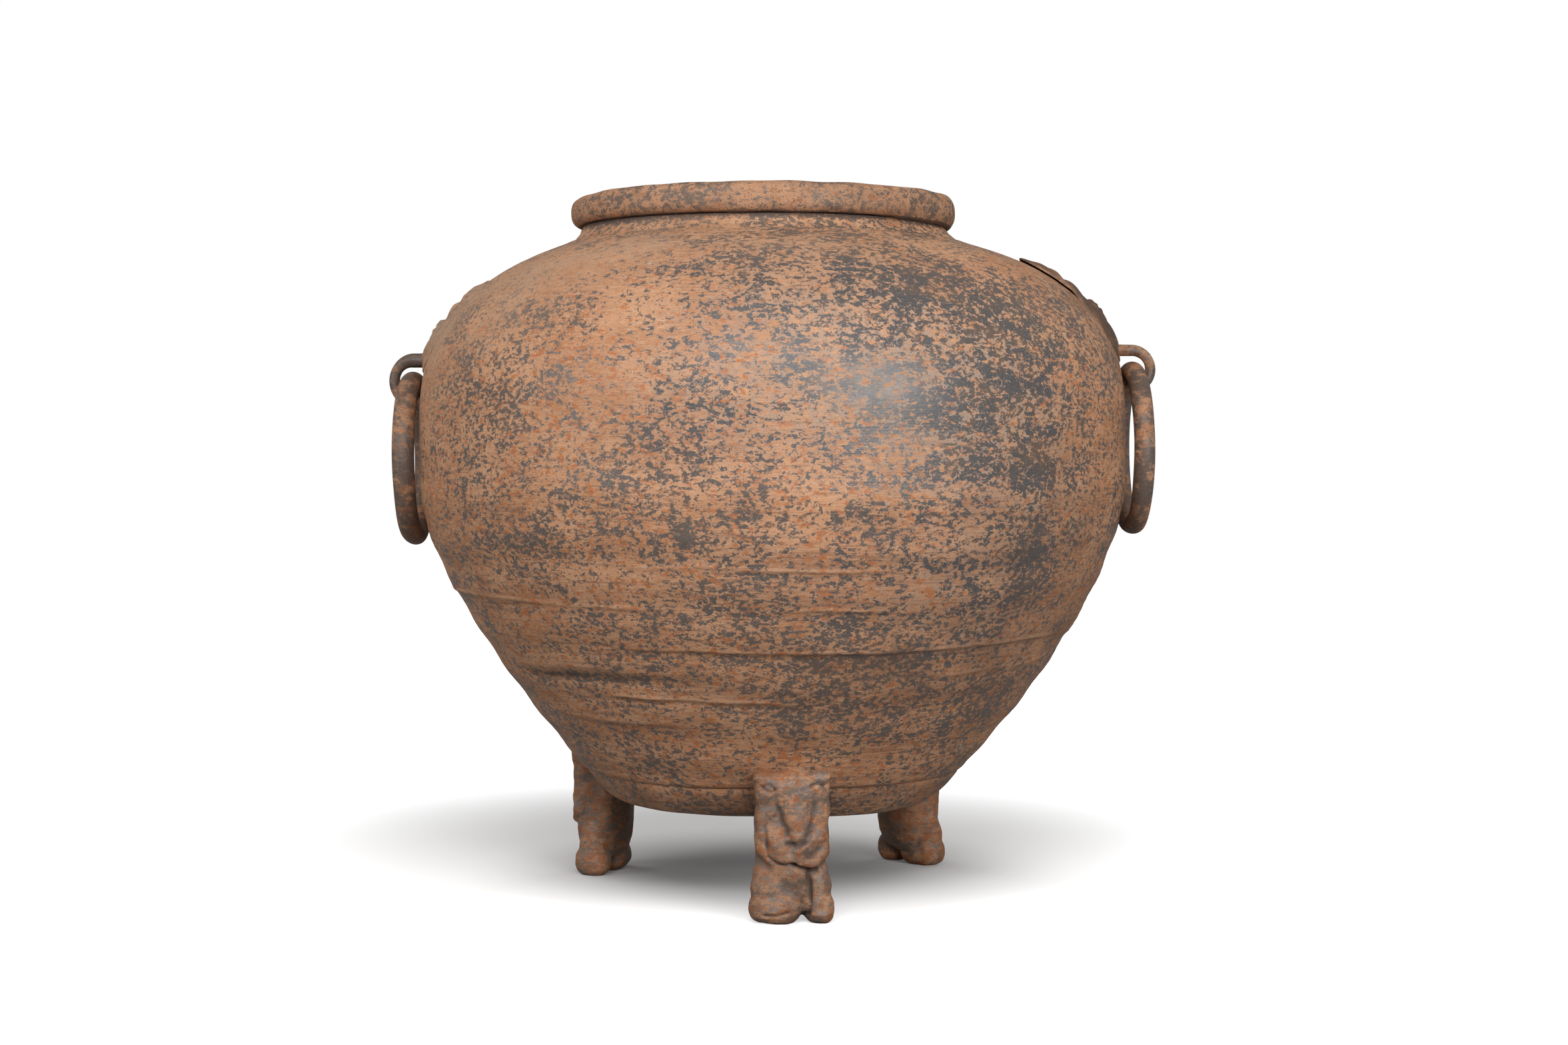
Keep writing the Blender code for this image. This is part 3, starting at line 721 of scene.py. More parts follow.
# How each ring hangs, tilted about Y and turned about Z, in degrees
RING_HANGS = ((-0.6, 0.0), (-0.4, 1.0))
# How deep a loop's leg goes into the wall, and how much and how far it thickens where it was
# pressed on
LEG_DEPTH = 4 * MM
FLARE, FLARE_REACH = 1.6 * MM, 2.2 * MM
# Azimuths round a bar's section
BAR_SIDES = 28
BAR_ROUND = np.linspace(0, math.tau, BAR_SIDES, endpoint=False)[None, :]


def swept(name, spine, frames, radii, ridge, closed):
    """A hand-rolled bar along a spine, joined end to end or capped, with its uneven ridges."""
    reach = (radii[:, None] + ridge)[..., None]
    first, second = (frame[:, None, :] for frame in frames)
    around = BAR_ROUND[..., None]
    places = spine[:, None, :] + reach * (np.cos(around) * first + np.sin(around) * second)
    faces = [grid_faces(len(spine), BAR_SIDES, closed, True)]
    if not closed:
        last = (len(spine) - 1) * BAR_SIDES
        faces += [[range(BAR_SIDES)], [range(last, last + BAR_SIDES)]]
    return mesh_object(name, places, *faces, sharp=180)


def loop(name, which, side):
    """A bent bar whose two legs go into the wall, thick where it was pressed on."""
    root, bend_bar = LOOP_BARS[which]
    eye = (RING_BARS[which] + EYE_SLACKS[which] + RING_SEAT_GAP) / 2
    eye_height = RING_HEIGHTS[which] - RING_BARS[which] / 2 - RING_SEAT_GAP + eye
    bend, reach = eye + root / 2, eye + bend_bar / 2
    middle = LOOP_OUTER - bend_bar / 2 - reach

    def leg(way):
        """Place and radius at each step from inside the wall to the bend."""
        height = eye_height + way * bend
        wall = float(wall_radius(height) + skin(np.array(side * math.pi / 2), np.array(height)))
        steps = []
        for away in np.linspace(-LEG_DEPTH, max(middle - wall, LEG_DEPTH), 12)[:-1]:
            flare = FLARE * math.exp(-max(away, 0) / FLARE_REACH)
            steps.append((wall + away, height + way * 0.3 * flare, root / 2 + flare))
        return steps

    turn = np.linspace(math.pi / 2, -math.pi / 2, 44)
    out, up = np.cos(turn), np.sin(turn)
    radii = (root + (bend_bar - root) * out) / 2
    bent = np.stack([middle + reach * out, eye_height + bend * up, radii], 1)
    x, z, radii = np.concatenate([leg(1), bent, leg(-1)[::-1]]).T
    spine = np.stack([side * x, np.zeros_like(x), z], 1)
    along = np.gradient(spine, axis=0)
    along /= np.linalg.norm(along, axis=1)[:, None]
    sideways = np.tile((0.0, 1.0, 0.0), (len(spine), 1))
    travel = np.linspace(0, 1, len(spine))[:, None]
    ridge = 0.22 * MM * np.sin(3 * BAR_ROUND + 9 * travel + which) * np.sin(7 * travel + BAR_ROUND)
    ridge = ridge - 0.1 * MM
    return swept(name, spine, (np.cross(along, sideways), sideways), radii, ridge, closed=False)


def ring(name, which, side):
    """A loose ring of hand-rolled clay, thicker here and thinner there."""
    bar = RING_BARS[which]
    middle_radius = (RING_DIAMETER - bar) / 2
    top = Vector((side * RING_PIVOT, 0, RING_HEIGHTS[which]))
    turn = np.linspace(0, math.tau, 120, endpoint=False)
    out = np.stack([np.zeros_like(turn), np.sin(turn), np.cos(turn)], 1)
    spine = np.array(top) - (0, 0, middle_radius) + middle_radius * out
    travel = turn[:, None]
    ridge = 0.28 * MM * np.sin(2 * travel + which) * np.cos(BAR_ROUND + 3 * travel)
    ridge = ridge + 0.2 * MM * np.sin(5 * travel + 2 * BAR_ROUND + 2 * which)
    # Even where the loop holds it, and most uneven at the bottom
    low = 0.5 * (1 - np.cos(travel))
    ridge = (ridge - 0.25 * MM) * low - 0.05 * MM
    axis = np.tile((side * 1.0, 0.0, 0.0), (len(turn), 1))
    made = swept(name, spine, (out, axis), np.full(len(turn), bar / 2), ridge, closed=True)
    tilt, yaw = (math.radians(degrees) for degrees in RING_HANGS[which])
    hang = Matrix.Rotation(tilt, 4, "Y") @ Matrix.Rotation(yaw, 4, "Z")
    made.data.transform(Matrix.Translation(top) @ hang @ Matrix.Translation(-top))
    return made


# The bear feet, in mm from the middle of the foot: outward, sideways and up. A lump has its
# middle, half sizes and squareness, and a limb is a run of balls, each place with its radius.
# Turns are in degrees, and each foot's face and paws are pressed in by so many mm

FOOT_REACH = 140 * MM
FOOT_TURNS = {"front": 5.0, "right": 130.5, "left": -113.5}
FACE_PRESS = {"front": 0, "right": 9, "left": 1}
PAW_PRESS = {"front": 0, "right": 4, "left": 8}
BEAR_LUMPS = {
    "column": ((1, 0, 57), (18.5, 24.4, 47), 3.4),
    "hips": ((6, 0, 30), (13.5, 26.5, 20), 2.6),
    "left_thigh": ((10, -14.5, 24), (12.5, 13.8, 18), 2.0),
    "right_thigh": ((9.5, 17.5, 24), (12.5, 11, 18), 2.0),
    "left_paw": ((10.5, -11, 10.5), (14.5, 18.5, 12), 2.6),
    "right_paw": ((10, 18.7, 10.5), (14.5, 11.3, 12), 2.6),
    "belly": ((12, -1, 35), (10.5, 20, 14), 2.0),
    "left_shoulder": ((7, -17, 66), (13, 8.8, 22), 2.4),
    "right_shoulder": ((7, 17, 66), (13, 8.8, 22), 2.4),
    "skull": ((8.5, 0, 92), (16.5, 26, 13), 3.0),
    "left_cheek": ((9.5, -13, 78), (12, 11, 17), 2.0),
    "right_cheek": ((9.5, 16, 78), (12, 10.5, 17), 2.0),
    "fillet": ((-6, 0, 97), (19, 29, 8), 2.6),
    "left_ear": ((13, -19.5, 101), (8, 8, 4.2), 2.0),
    "right_ear": ((13, 19.5, 101.5), (8, 8, 4.2), 2.0),
}
BEAR_LIMBS = {
    "muzzle": (
        *(((9, 1, 93), 16.5), ((12, 2, 82), 14)),
        *(((15.5, 3, 71), 10.8), ((18.6, 3, 62.5), 7.8)),
    ),
    "left_hand": (((15.5, -11, 61), 9.2), ((18.5, -8, 53.5), 8.0)),
    "left_arm": (
        *(((9, -19, 66), 7.2), ((12.5, -19, 52), 7.2)),
        *(((16.5, -13, 46.5), 6.8), ((20, -3, 45), 6.0)),
    ),
    "right_arm": (
        *(((9, 19, 64), 7.2), ((12.5, 19, 50), 7.2)),
        *(((17, 13, 43.5), 6.6), ((20, 5, 44.5), 6.2)),
    ),
    "right_hand": (((15, 17, 59), 6.6), ((18.5, 10, 54), 6.6), ((20.5, 4, 51), 6.4)),
}
# Cut lines and pressed pits on the bear's front, ridges below 0: a run of (sideways, up), then
# width and depth
BEAR_LINES = (
    (((-22, 95.4), (-17.5, 97.3), (-12.3, 93.6)), 0.9, 1.9),
    (((-21.6, 94.6), (-17, 91.8), (-12.3, 93.2)), 0.9, 1.7),
    (((-22, 91.5), (-17, 89.6), (-12, 91.4)), 1.2, -0.5),
    (((12.6, 96.2), (17.5, 98.4), (22.6, 95.8)), 1.4, 2.8),
    (((-13.4, 90), (-10.5, 80), (-6.4, 70), (-3.8, 62)), 1.8, 1.0),
    (((15.5, 90), (15, 80), (12.4, 69), (9.4, 61)), 1.8, 0.9),
    (((-4.2, 57), (3, 54.4), (9.2, 57.6)), 1.5, 1.9),
    (((-3, 65.5), (3, 64), (8, 66)), 1.2, 0.7),
    (((-19.8, 68), (-18.6, 56), (-18.2, 49)), 1.4, 1.5),
    (((-17.6, 46.5), (-12.5, 42.4), (-6, 41), (0.5, 41.6)), 1.4, 2.3),
    (((-2, 41.6), (5, 39), (12.5, 36.6), (17, 37.8)), 1.5, 2.4),
    (((20.6, 67), (12, 58), (3, 51)), 1.6, -0.6),
    (((11.2, 35), (11.6, 20), (10, 10), (7.6, -2)), 1.9, 3.0),
    (((-20.5, 6.4), (-11, 6.8), (-3.4, 8.8)), 1.3, 1.5),
    (((-20.5, 9.0), (-11, 9.2), (-3.8, 11.2)), 1.3, -0.7),
    (((14.5, 7.2), (20, 6.0), (26, 8.6)), 1.2, -0.6),
    (((-24, 30), (-14, 33), (-6, 30)), 2.6, 0.6),
)
BEAR_PITS = (
    (((13.3, 49.6),), 5.6, 3.4),
    (((13.3, 50.2),), 2.9, -3.0),
    (((19.6, 11.2),), 3.2, 1.7),
    (((-12.3, 74.3),), 1.5, 1.1),
    (((-9.5, 79),), 1.2, 0.6),
    (((4, 84),), 3.5, 0.5),
)
# The bears at the back were pressed flatter, so their cut lines are shallower
WORN_LINES = 0.45
# Unevenness of a whole foot: length of its waves and how high they are
FOOT_WAVES = ((26, 0.22), (11, 0.08), (4.5, 0.03))
# A foot's lumps are merged at this grain and smoothed so many times
FOOT_GRAIN, FOOT_SMOOTHING = 1.15 * MM, 11
# How far the feet reach into the wall, and the height and slope at which they meet the dish, from
# that radius on
FOOT_BEDDING = 5 * MM
FOOT_TOP, FOOT_TOP_SLOPE, FOOT_TOP_FROM = BASE_FLAT[1] + 4 * MM, 0.62, 110 * MM


def unit_ball(across=32, up=20):
    """Directions and faces of a ball of quads with a cap at either pole."""
    turn = np.linspace(0, math.tau, across, endpoint=False)[None, :]
    tilt = np.linspace(0, math.pi, up)[1:-1, None]
    level = np.repeat(np.cos(tilt), across, 1)
    ways = np.stack([np.sin(tilt) * np.cos(turn), np.sin(tilt) * np.sin(turn), level], -1)
    faces = grid_faces(up - 2, across, close_rows=False).tolist()
    faces += [list(range(across))[::-1], list(range((up - 3) * across, (up - 2) * across))]
    return ways.reshape(-1, 3), faces


BALL_WAYS, BALL_FACES = unit_ball()


def lump(middle, half_sizes, squareness):
    """Places of one lump of clay, an egg at squareness 2 and a rounded block above it."""
    reach = (abs(BALL_WAYS) ** squareness).sum(1, keepdims=True) ** (-1 / squareness)
    return np.array(middle) + BALL_WAYS * reach * np.array(half_sizes)


def bear_lumps(name):
    """Places of all of one bear's lumps, in mm."""

    def pressed(middle):
        press = PAW_PRESS if middle[2] < 40 else FACE_PRESS
        return (middle[0] - press[name] * soft_step(0, 8, middle[0]), middle[1], middle[2])

    lumps = [lump(pressed(middle), *shape) for middle, *shape in BEAR_LUMPS.values()]
    for run in BEAR_LIMBS.values():
        for (a, wide), (b, narrow) in zip(run, run[1:]):
            for share in np.linspace(0, 1, 6):
                middle = Vector(pressed(a)).lerp(Vector(pressed(b)), share)
                lumps.append(lump(middle, (wide + (narrow - wide) * share,) * 3, 2.0))
    return lumps


def merged(lumps, place):
    """One smooth mesh of all the lumps, in its place on the jar."""
    corner_count = len(lumps[0])
    data = bpy.data.meshes.new("foot_lumps")
    data.from_pydata(
        (np.concatenate(lumps) @ place[:3, :3].T + place[:3, 3]).tolist(),
        [],
        [[c + i * corner_count for c in face] for i in range(len(lumps)) for face in BALL_FACES],
    )
    clay = placed("foot_lumps", data)
    merge = clay.modifiers.new("one_lump", "REMESH")
    merge.mode = "VOXEL"
    merge.voxel_size = FOOT_GRAIN
    soften = clay.modifiers.new("softened", "SMOOTH")
    soften.iterations = FOOT_SMOOTHING
    done = clay.evaluated_get(bpy.context.evaluated_depsgraph_get())
    shape = bpy.data.meshes.new_from_object(done)
    bpy.data.objects.remove(clay)
    return shape


def foot_cuts(name, local, facing):
    """How deep the foot is cut at each place, in mm: its bear's lines and pits and its waves."""
    depth = 0.0
    for run, width, deep in BEAR_LINES + BEAR_PITS:
        away = to_run(local[:, 1], local[:, 2], run)
        depth = depth + deep * np.exp(-((away / width) ** 2))
    depth = depth * soft_step(0.0, 0.45, facing) * (WORN_LINES if FACE_PRESS[name] else 1.0)
    rng = np.random.default_rng(51)
    for wave, amount in FOOT_WAVES:
        for _ in range(5):
            way = rng.normal(size=3)
            way = way * math.tau / wave / np.linalg.norm(way)
            depth = depth + amount * np.sin(local @ way + rng.uniform(0, 6))
    return depth


def bear_foot(name):
    """One moulded foot: a squatting bear facing away from the jar, luted on with a little slip."""
    azimuth = math.radians(FOOT_TURNS[name])
    place = (
        Matrix.Translation((FOOT_REACH * math.sin(azimuth), -FOOT_REACH * math.cos(azimuth), 0))
        @ Matrix.Rotation(azimuth - math.pi / 2, 4, "Z")
        @ Matrix.Scale(MM, 4)
    )
    inverse, place = np.array(place.inverted()), np.array(place)
    shape = merged(bear_lumps(name), place)
    places, normals = corners(shape), corners(shape, "vertex_normals", "vector")
    local = places @ inverse[:3, :3].T + inverse[:3, 3]
    facing = normals @ (place[:3, 0] / MM)
    places -= normals * foot_cuts(name, local, facing)[:, None] * MM
    # Flat on the floor, up to the dish below and out of the jar's inside above
    places[:, 2] = np.maximum(places[:, 2], 0)
    radius = np.hypot(places[:, 0], places[:, 1])
    over = places[:, 2] > DISH_SEAM[1]
    inside = np.where(over, wall_radius(places[:, 2]) - FOOT_BEDDING, 0)
    dish = FOOT_TOP + np.clip(radius - FOOT_TOP_FROM, 0, 1) * FOOT_TOP_SLOPE
    under = places[:, 2] < DISH_SEAM[1]
    places[:, 2] = np.where(under, np.minimum(places[:, 2], dish), places[:, 2])
    places[:, :2] *= np.maximum(inside / np.maximum(radius, SAME_PLACE), 1)[:, None]
    shape.vertices.foreach_set("co", places.ravel())
    shape.shade_smooth()
    made = placed("foot_" + name + "_clay", shape)
    mark_wear_and_hollow_shade(made, 1.3 * MM)
    return made


# Finishes


def linear(code):
    """An sRGB hex colour as the linear values that a shader takes."""
    made = []
    for i in (0, 2, 4):
        c = int(code[i : i + 2], 16) / 255
        made.append(c / 12.92 if c <= 0.04045 else ((c + 0.055) / 1.055) ** 2.4)
    return (*made, 1.0)


def add(tree, kind, inputs=(), **settings):
    """Adds a node with its settings. An input takes a value, a socket or a node's own result."""
    made = tree.nodes.new(kind)
    for name, value in settings.items():
        setattr(made, name, value)
    for socket, value in dict(inputs).items():
        if isinstance(value, bpy.types.Node):
            value = next(result for result in value.outputs if result.enabled)
        if isinstance(value, bpy.types.NodeSocket):
            tree.links.new(value, made.inputs[socket])
        else:
            made.inputs[socket].default_value = value
    return made


NOISE, MATHS, VECTORS = "ShaderNodeTexNoise", "ShaderNodeMath", "ShaderNodeVectorMath"
RANGE, MIX, MAPPING = "ShaderNodeMapRange", "ShaderNodeMix", "ShaderNodeMapping"
EASED = {"interpolation_type": "SMOOTHSTEP"}
COLOURS, NUMBERS = {"data_type": "RGBA"}, {"data_type": "FLOAT"}
TIMES, TIMES_PLUS = {"operation": "MULTIPLY"}, {"operation": "MULTIPLY_ADD"}
MOST = {"operation": "MAXIMUM"}
# Sockets by number. A range takes its value at 0 and carries the span from 1 to 2 over to the one
# from 3 to 4. A mix takes its share at 0, numbers at 2 and 3, and colours at 6 and 7. A mapping
# takes its place at 1 and its scale at 3. Maths take 0 and 1, add them if no operation is given,
# and take what is added to a product at 2

# A noise with spots of N mm has a scale of SPOTS / N
SPOTS = 500
# The level of the mottling over which slip covers the clay, and from where to where it thins out
SLIP_LEVEL, THIN_SLIP = 0.528, (0.47, 0.53)
# Colours of the bare clay, of the slip, of what has come over both, and of the slip's two depths
FRESH_CLAY, PALE_CLAY, TAN_CLAY, RUBBED_CLAY = "b17a52", "bf8c66", "c9a283", "d0a98b"
RUST_SPOT, DARK_GRAIN, DRAG_LINE, SCRATCHED = "b0693a", "835c45", "7a5a48", "cfae92"
# The slip's film colour on the next line stands partly for painted sheen, greying the clay where
# the highlight falls
SLIP_FILM_AND_SHEEN, SLIP_EDGE, SLIP_GRAIN = "9f8b7b", "8f7768", "857a70"
# The last colour on the next line is painted shade, for the hollows and under the rim
SMOKE, DUST, DARK_PIT, HOLLOW_SHADE = "5a4435", "a58870", "43342b", "3d2b22"
SLATES, FOOT_SLATES = ("6a574a", "4e4d4e"), ("76665a", "807b78")


def slipped_terracotta(
    name,
    size=1.0,
    cover=0.0,
    soft=0.010,
    patches=1.0,
    rust=0.0,
    dust=0.0,
    soot=0.0,
    pepper=0.0,
    sheen=0.33,
    slates=SLATES,
):
    """Terracotta: red earthenware, burnished leather-hard under a dark iron slip, fired without
    glaze. The slip has worn off in flakes: where it stays it is slate grey with a soft sheen, and
    the bare clay is dry, orange to tan, streaked round the jar by the burnishing.

    size is how large the flakes are, cover how much more of them there is, soft how blurred
    their edges are and patches how much they gather. rust, dust, soot and pepper are how much
    there is of rust spots, dust, smoke and dark specks. sheen is the slip's roughness, lower for
    more shine, and slates are its colours where it is thin and thick."""
    made = bpy.data.materials.new(name)
    made.use_nodes = True
    tree = made.node_tree
    shader = tree.nodes["Principled BSDF"]
    coords = add(tree, "ShaderNodeTexCoord").outputs["Object"]
    # The jar turned under the hand, so marks are longer round it than up it
    round_it = add(tree, MAPPING, {0: coords, 3: (1, 1, 1.6)})
    drawn = add(tree, MAPPING, {0: coords, 3: (1, 1, 7.0)})
    turned = add(tree, MAPPING, {0: coords, 3: (1, 1, 26.0)})
    marks = {}
    # The crest mark rubs crests pale above 0 and paints shade into hollows below 0; the slip film
    # stain is partly painted sheen
    for mark_name in ("crest", *STAINS):
        reader = add(tree, "ShaderNodeAttribute", attribute_name=mark_name)
        marks[mark_name] = reader.outputs["Fac"]

    # Slip in ragged flakes of 3 to 12 mm, lacy at their edges, thin and brown round each flake.
    # Coils' crests are rubbed bare, and the troughs under them keep their slip
    drift = add(tree, NOISE, {"Vector": coords, "Scale": SPOTS / 5, "Detail": 2}).outputs["Color"]
    shaken = add(tree, VECTORS, {0: drift, 1: (6 * MM,) * 3, 2: round_it}, **TIMES_PLUS)
    scale = SPOTS / (2.3 * size)
    flakes = add(tree, NOISE, {"Vector": shaken, "Scale": scale, "Detail": 3, "Roughness": 0.6})
    scale = SPOTS / (0.9 * size)
    lace = add(tree, NOISE, {"Vector": shaken, "Scale": scale, "Detail": 4, "Roughness": 0.7})
    scale = SPOTS / (9 * size)
    clumps = add(tree, NOISE, {"Vector": round_it, "Scale": scale, "Detail": 3, "Roughness": 0.6})
    regions = add(tree, NOISE, {"Vector": round_it, "Scale": SPOTS / 40, "Detail": 2})
    least, most = -0.035 * patches, 0.035 * patches
    amount = add(tree, RANGE, {0: clumps, 1: 0.34, 2: 0.66, 3: least, 4: most}, **EASED)
    least, most = cover - 0.025, cover + 0.025
    spread = add(tree, RANGE, {0: regions, 1: 0.36, 2: 0.64, 3: least, 4: most}, **EASED)
    amount = add(tree, MATHS, {0: amount, 1: spread})
    amount = add(tree, MATHS, {0: marks["kept"], 1: 0.055, 2: amount}, **TIMES_PLUS)
    amount = add(tree, MATHS, {0: marks["crest"], 1: -0.07, 2: amount}, **TIMES_PLUS)
    mottle = add(tree, MIX, {0: 0.4, 2: flakes, 3: lace}, **NUMBERS)
    level = add(tree, MATHS, {0: mottle, 1: amount})
    slip = add(tree, RANGE, {0: level, 1: SLIP_LEVEL - soft, 2: SLIP_LEVEL + soft}, **EASED)
    thin = add(tree, RANGE, {0: level, 1: THIN_SLIP[0], 2: THIN_SLIP[1], 4: 0.45}, **EASED)

    # Bare clay: orange where it is freshly worn, tan where it is weathered, drawn out sideways
    scale = SPOTS / 0.6
    grain = add(tree, NOISE, {"Vector": coords, "Scale": scale, "Detail": 3, "Roughness": 0.65})
    scale = SPOTS / 3.2
    streaks = add(tree, NOISE, {"Vector": drawn, "Scale": scale, "Detail": 4, "Roughness": 0.65})
    weather = add(tree, NOISE, {"Vector": round_it, "Scale": SPOTS / 26, "Detail": 3})
    weather = add(tree, RANGE, {0: weather, 1: 0.38, 2: 0.62}, **EASED)
    clay = add(tree, MIX, {0: weather, 6: linear(FRESH_CLAY), 7: linear(PALE_CLAY)}, **COLOURS)
    tan = add(tree, RANGE, {0: streaks, 1: 0.42, 2: 0.66, 4: 0.6}, **EASED)
    clay = add(tree, MIX, {0: tan, 6: clay, 7: linear(TAN_CLAY)}, **COLOURS)
    rubbed = add(tree, MATHS, {0: marks["crest"], 1: streaks}, **TIMES)
    rubbed = add(tree, RANGE, {0: rubbed, 1: 0.2, 2: 1.0, 4: 0.9}, **EASED)
    clay = add(tree, MIX, {0: rubbed, 6: clay, 7: linear(RUBBED_CLAY)}, **COLOURS)
    # Rust-coloured spots, where iron came through, on the belly more than the shoulder
    height = add(tree, "ShaderNodeSeparateXYZ", {0: coords}).outputs["Z"]
    heights = {1: 380 * MM, 2: 440 * MM}
    fewer = add(tree, RANGE, {0: height, **heights, 3: rust, 4: rust - 0.05}, **EASED)
    scale = SPOTS / 3.6
    spots = add(tree, NOISE, {"Vector": round_it, "Scale": scale, "Detail": 3, "Roughness": 0.6})
    spots = add(tree, MATHS, {0: spots, 1: fewer})
    spots = add(tree, RANGE, {0: spots, 1: 0.54, 2: 0.62, 4: 0.9}, **EASED)
    clay = add(tree, MIX, {0: spots, 6: clay, 7: linear(RUST_SPOT)}, **COLOURS)
    dark_grain = add(tree, RANGE, {0: grain, 1: 0.52, 2: 0.74, 4: 0.5}, **EASED)
    clay = add(tree, MIX, {0: dark_grain, 6: clay, 7: linear(DARK_GRAIN)}, **COLOURS)
    # What is left of the slip as a thin grey-brown stain in the clay, and painted sheen: the stain
    # greys the clay where the highlight falls
    scale = SPOTS / 3.4
    slip_stain_and_sheen = add(tree, NOISE, {"Vector": shaken, "Scale": scale, "Detail": 5, "Roughness": 0.65})
    slip_stain_and_sheen = add(tree, RANGE, {0: slip_stain_and_sheen, 1: 0.40, 2: 0.60, 4: 0.85}, **EASED)
    slip_stain_and_sheen = add(tree, MATHS, {0: slip_stain_and_sheen, 1: marks["slip_film_and_painted_sheen"]}, use_clamp=True, **TIMES)
    clay = add(tree, MIX, {0: slip_stain_and_sheen, 6: clay, 7: linear(SLIP_FILM_AND_SHEEN)}, **COLOURS)
    clay = add(tree, MIX, {0: thin, 6: clay, 7: linear(SLIP_EDGE)}, **COLOURS)
    # Fine dark lines drawn round the jar as it turned, faint on the shoulder
    scale = SPOTS / 26
    drag = add(tree, NOISE, {"Vector": turned, "Scale": scale, "Detail": 4, "Roughness": 0.7})
    lines = add(tree, RANGE, {0: drag, 1: 0.52, 2: 0.66, 4: 0.55}, **EASED)
    heights = {1: 400 * MM, 2: 260 * MM}
    low_down = add(tree, RANGE, {0: height, **heights, 3: 0.3, 4: 1.0}, **EASED)
    lines = add(tree, MATHS, {0: lines, 1: low_down}, **TIMES)
    clay = add(tree, MIX, {0: lines, 6: clay, 7: linear(DRAG_LINE)}, **COLOURS)

    # The slip: slate grey, browner where it is thin and away from the film marks; its grey there
    # partly stands for painted sheen
    thick = add(tree, NOISE, {"Vector": round_it, "Scale": SPOTS / 9, "Detail": 3})
    grey = add(tree, RANGE, {0: thick, 1: 0.36, 2: 0.60, 3: 0.2}, **EASED)
    film_and_sheen_grey = add(tree, RANGE, {0: marks["slip_film_and_painted_sheen"], 1: 0.0, 2: 0.6, 3: 0.45, 4: 1.0}, **EASED)
    grey = add(tree, MATHS, {0: grey, 1: film_and_sheen_grey}, **TIMES)
    brown, slate = slates
    slate = add(tree, MIX, {0: grey, 6: linear(brown), 7: linear(slate)}, **COLOURS)
    pale_grain = add(tree, RANGE, {0: grain, 1: 0.44, 2: 0.72, 4: 0.45}, **EASED)
    slate = add(tree, MIX, {0: pale_grain, 6: slate, 7: linear(SLIP_GRAIN)}, **COLOURS)
    colour = add(tree, MIX, {0: slip, 6: clay, 7: slate}, **COLOURS)

    # Hairline scratches, thin and pale, in some places
    wander = add(tree, NOISE, {"Vector": coords, "Scale": SPOTS / 16, "Detail": 1})
    off = add(tree, MATHS, {0: wander, 1: 0.5}, operation="SUBTRACT")
    off = add(tree, MATHS, {0: off}, operation="ABSOLUTE")
    line = add(tree, RANGE, {0: off, 1: 0.0, 2: 0.0035, 3: 0.45, 4: 0.0}, **EASED)
    where = add(tree, RANGE, {0: clumps, 1: 0.42, 2: 0.58}, **EASED)
    line = add(tree, MATHS, {0: line, 1: where}, **TIMES)
    colour = add(tree, MIX, {0: line, 6: colour, 7: linear(SCRATCHED)}, **COLOURS)

    # Smoke stains, then dust, both patchy, then dark specks in them, then painted shade in the
    # hollows and under the rim
    scale = SPOTS / 22
    patchy = add(tree, NOISE, {"Vector": coords, "Scale": scale, "Detail": 4, "Roughness": 0.65})
    patchy = add(tree, RANGE, {0: patchy, 1: 0.36, 2: 0.62, 3: 0.35, 4: 1.0}, **EASED)
    smoke = add(tree, MATHS, {0: marks["sooty"], 1: 0.6, 2: soot}, use_clamp=True, **TIMES_PLUS)
    smoke = add(tree, MATHS, {0: smoke, 1: patchy}, **TIMES)
    colour = add(tree, MIX, {0: smoke, 6: colour, 7: linear(SMOKE)}, **COLOURS)
    veil = add(tree, MATHS, {0: marks["dusty"], 1: 0.8, 2: dust}, use_clamp=True, **TIMES_PLUS)
    veil = add(tree, MATHS, {0: veil, 1: patchy}, **TIMES)
    colour = add(tree, MIX, {0: veil, 6: colour, 7: linear(DUST)}, **COLOURS)
    speckle = add(tree, MATHS, {0: smoke, 1: veil})
    speckle = add(tree, MATHS, {0: speckle, 1: 0.6, 2: pepper}, use_clamp=True, **TIMES_PLUS)
    scale = SPOTS / 0.7
    pits = add(tree, NOISE, {"Vector": coords, "Scale": scale, "Detail": 3, "Roughness": 0.7})
    pits = add(tree, RANGE, {0: pits, 1: 0.56, 2: 0.68}, **EASED)
    pits = add(tree, MATHS, {0: pits, 1: speckle}, **TIMES)
    colour = add(tree, MIX, {0: pits, 6: colour, 7: linear(DARK_PIT)}, **COLOURS)
    # Painted shade: the hollows and the underside of the rim are darkened to a dark brown
    painted_hollow_shade = add(tree, RANGE, {0: marks["crest"], 1: -0.15, 2: -1.0, 4: 0.75}, **EASED)
    colour = add(tree, MIX, {0: painted_hollow_shade, 6: colour, 7: linear(HOLLOW_SHADE)}, **COLOURS)
    tree.links.new(colour.outputs[2], shader.inputs["Base Color"])

    # Burnished slip has a soft sheen, bare clay is dry, and dust and the shaded hollows are dull
    least, most = sheen - 0.05, sheen + 0.05
    burnished = add(tree, RANGE, {0: thick, 1: 0.3, 2: 0.7, 3: least, 4: most}, **EASED)
    dry = add(tree, RANGE, {0: grain, 1: 0.3, 2: 0.7, 3: 0.64, 4: 0.84}, **EASED)
    film = add(tree, MATHS, {0: slip, 1: thin}, **MOST)
    gloss = add(tree, MIX, {0: film, 2: dry, 3: burnished}, **NUMBERS)
    dull = add(tree, MATHS, {0: veil, 1: painted_hollow_shade}, **MOST)
    gloss = add(tree, MIX, {0: dull, 2: gloss, 3: 0.85}, **NUMBERS)
    tree.links.new(gloss.outputs[0], shader.inputs["Roughness"])
    shader.inputs["IOR"].default_value = 1.5

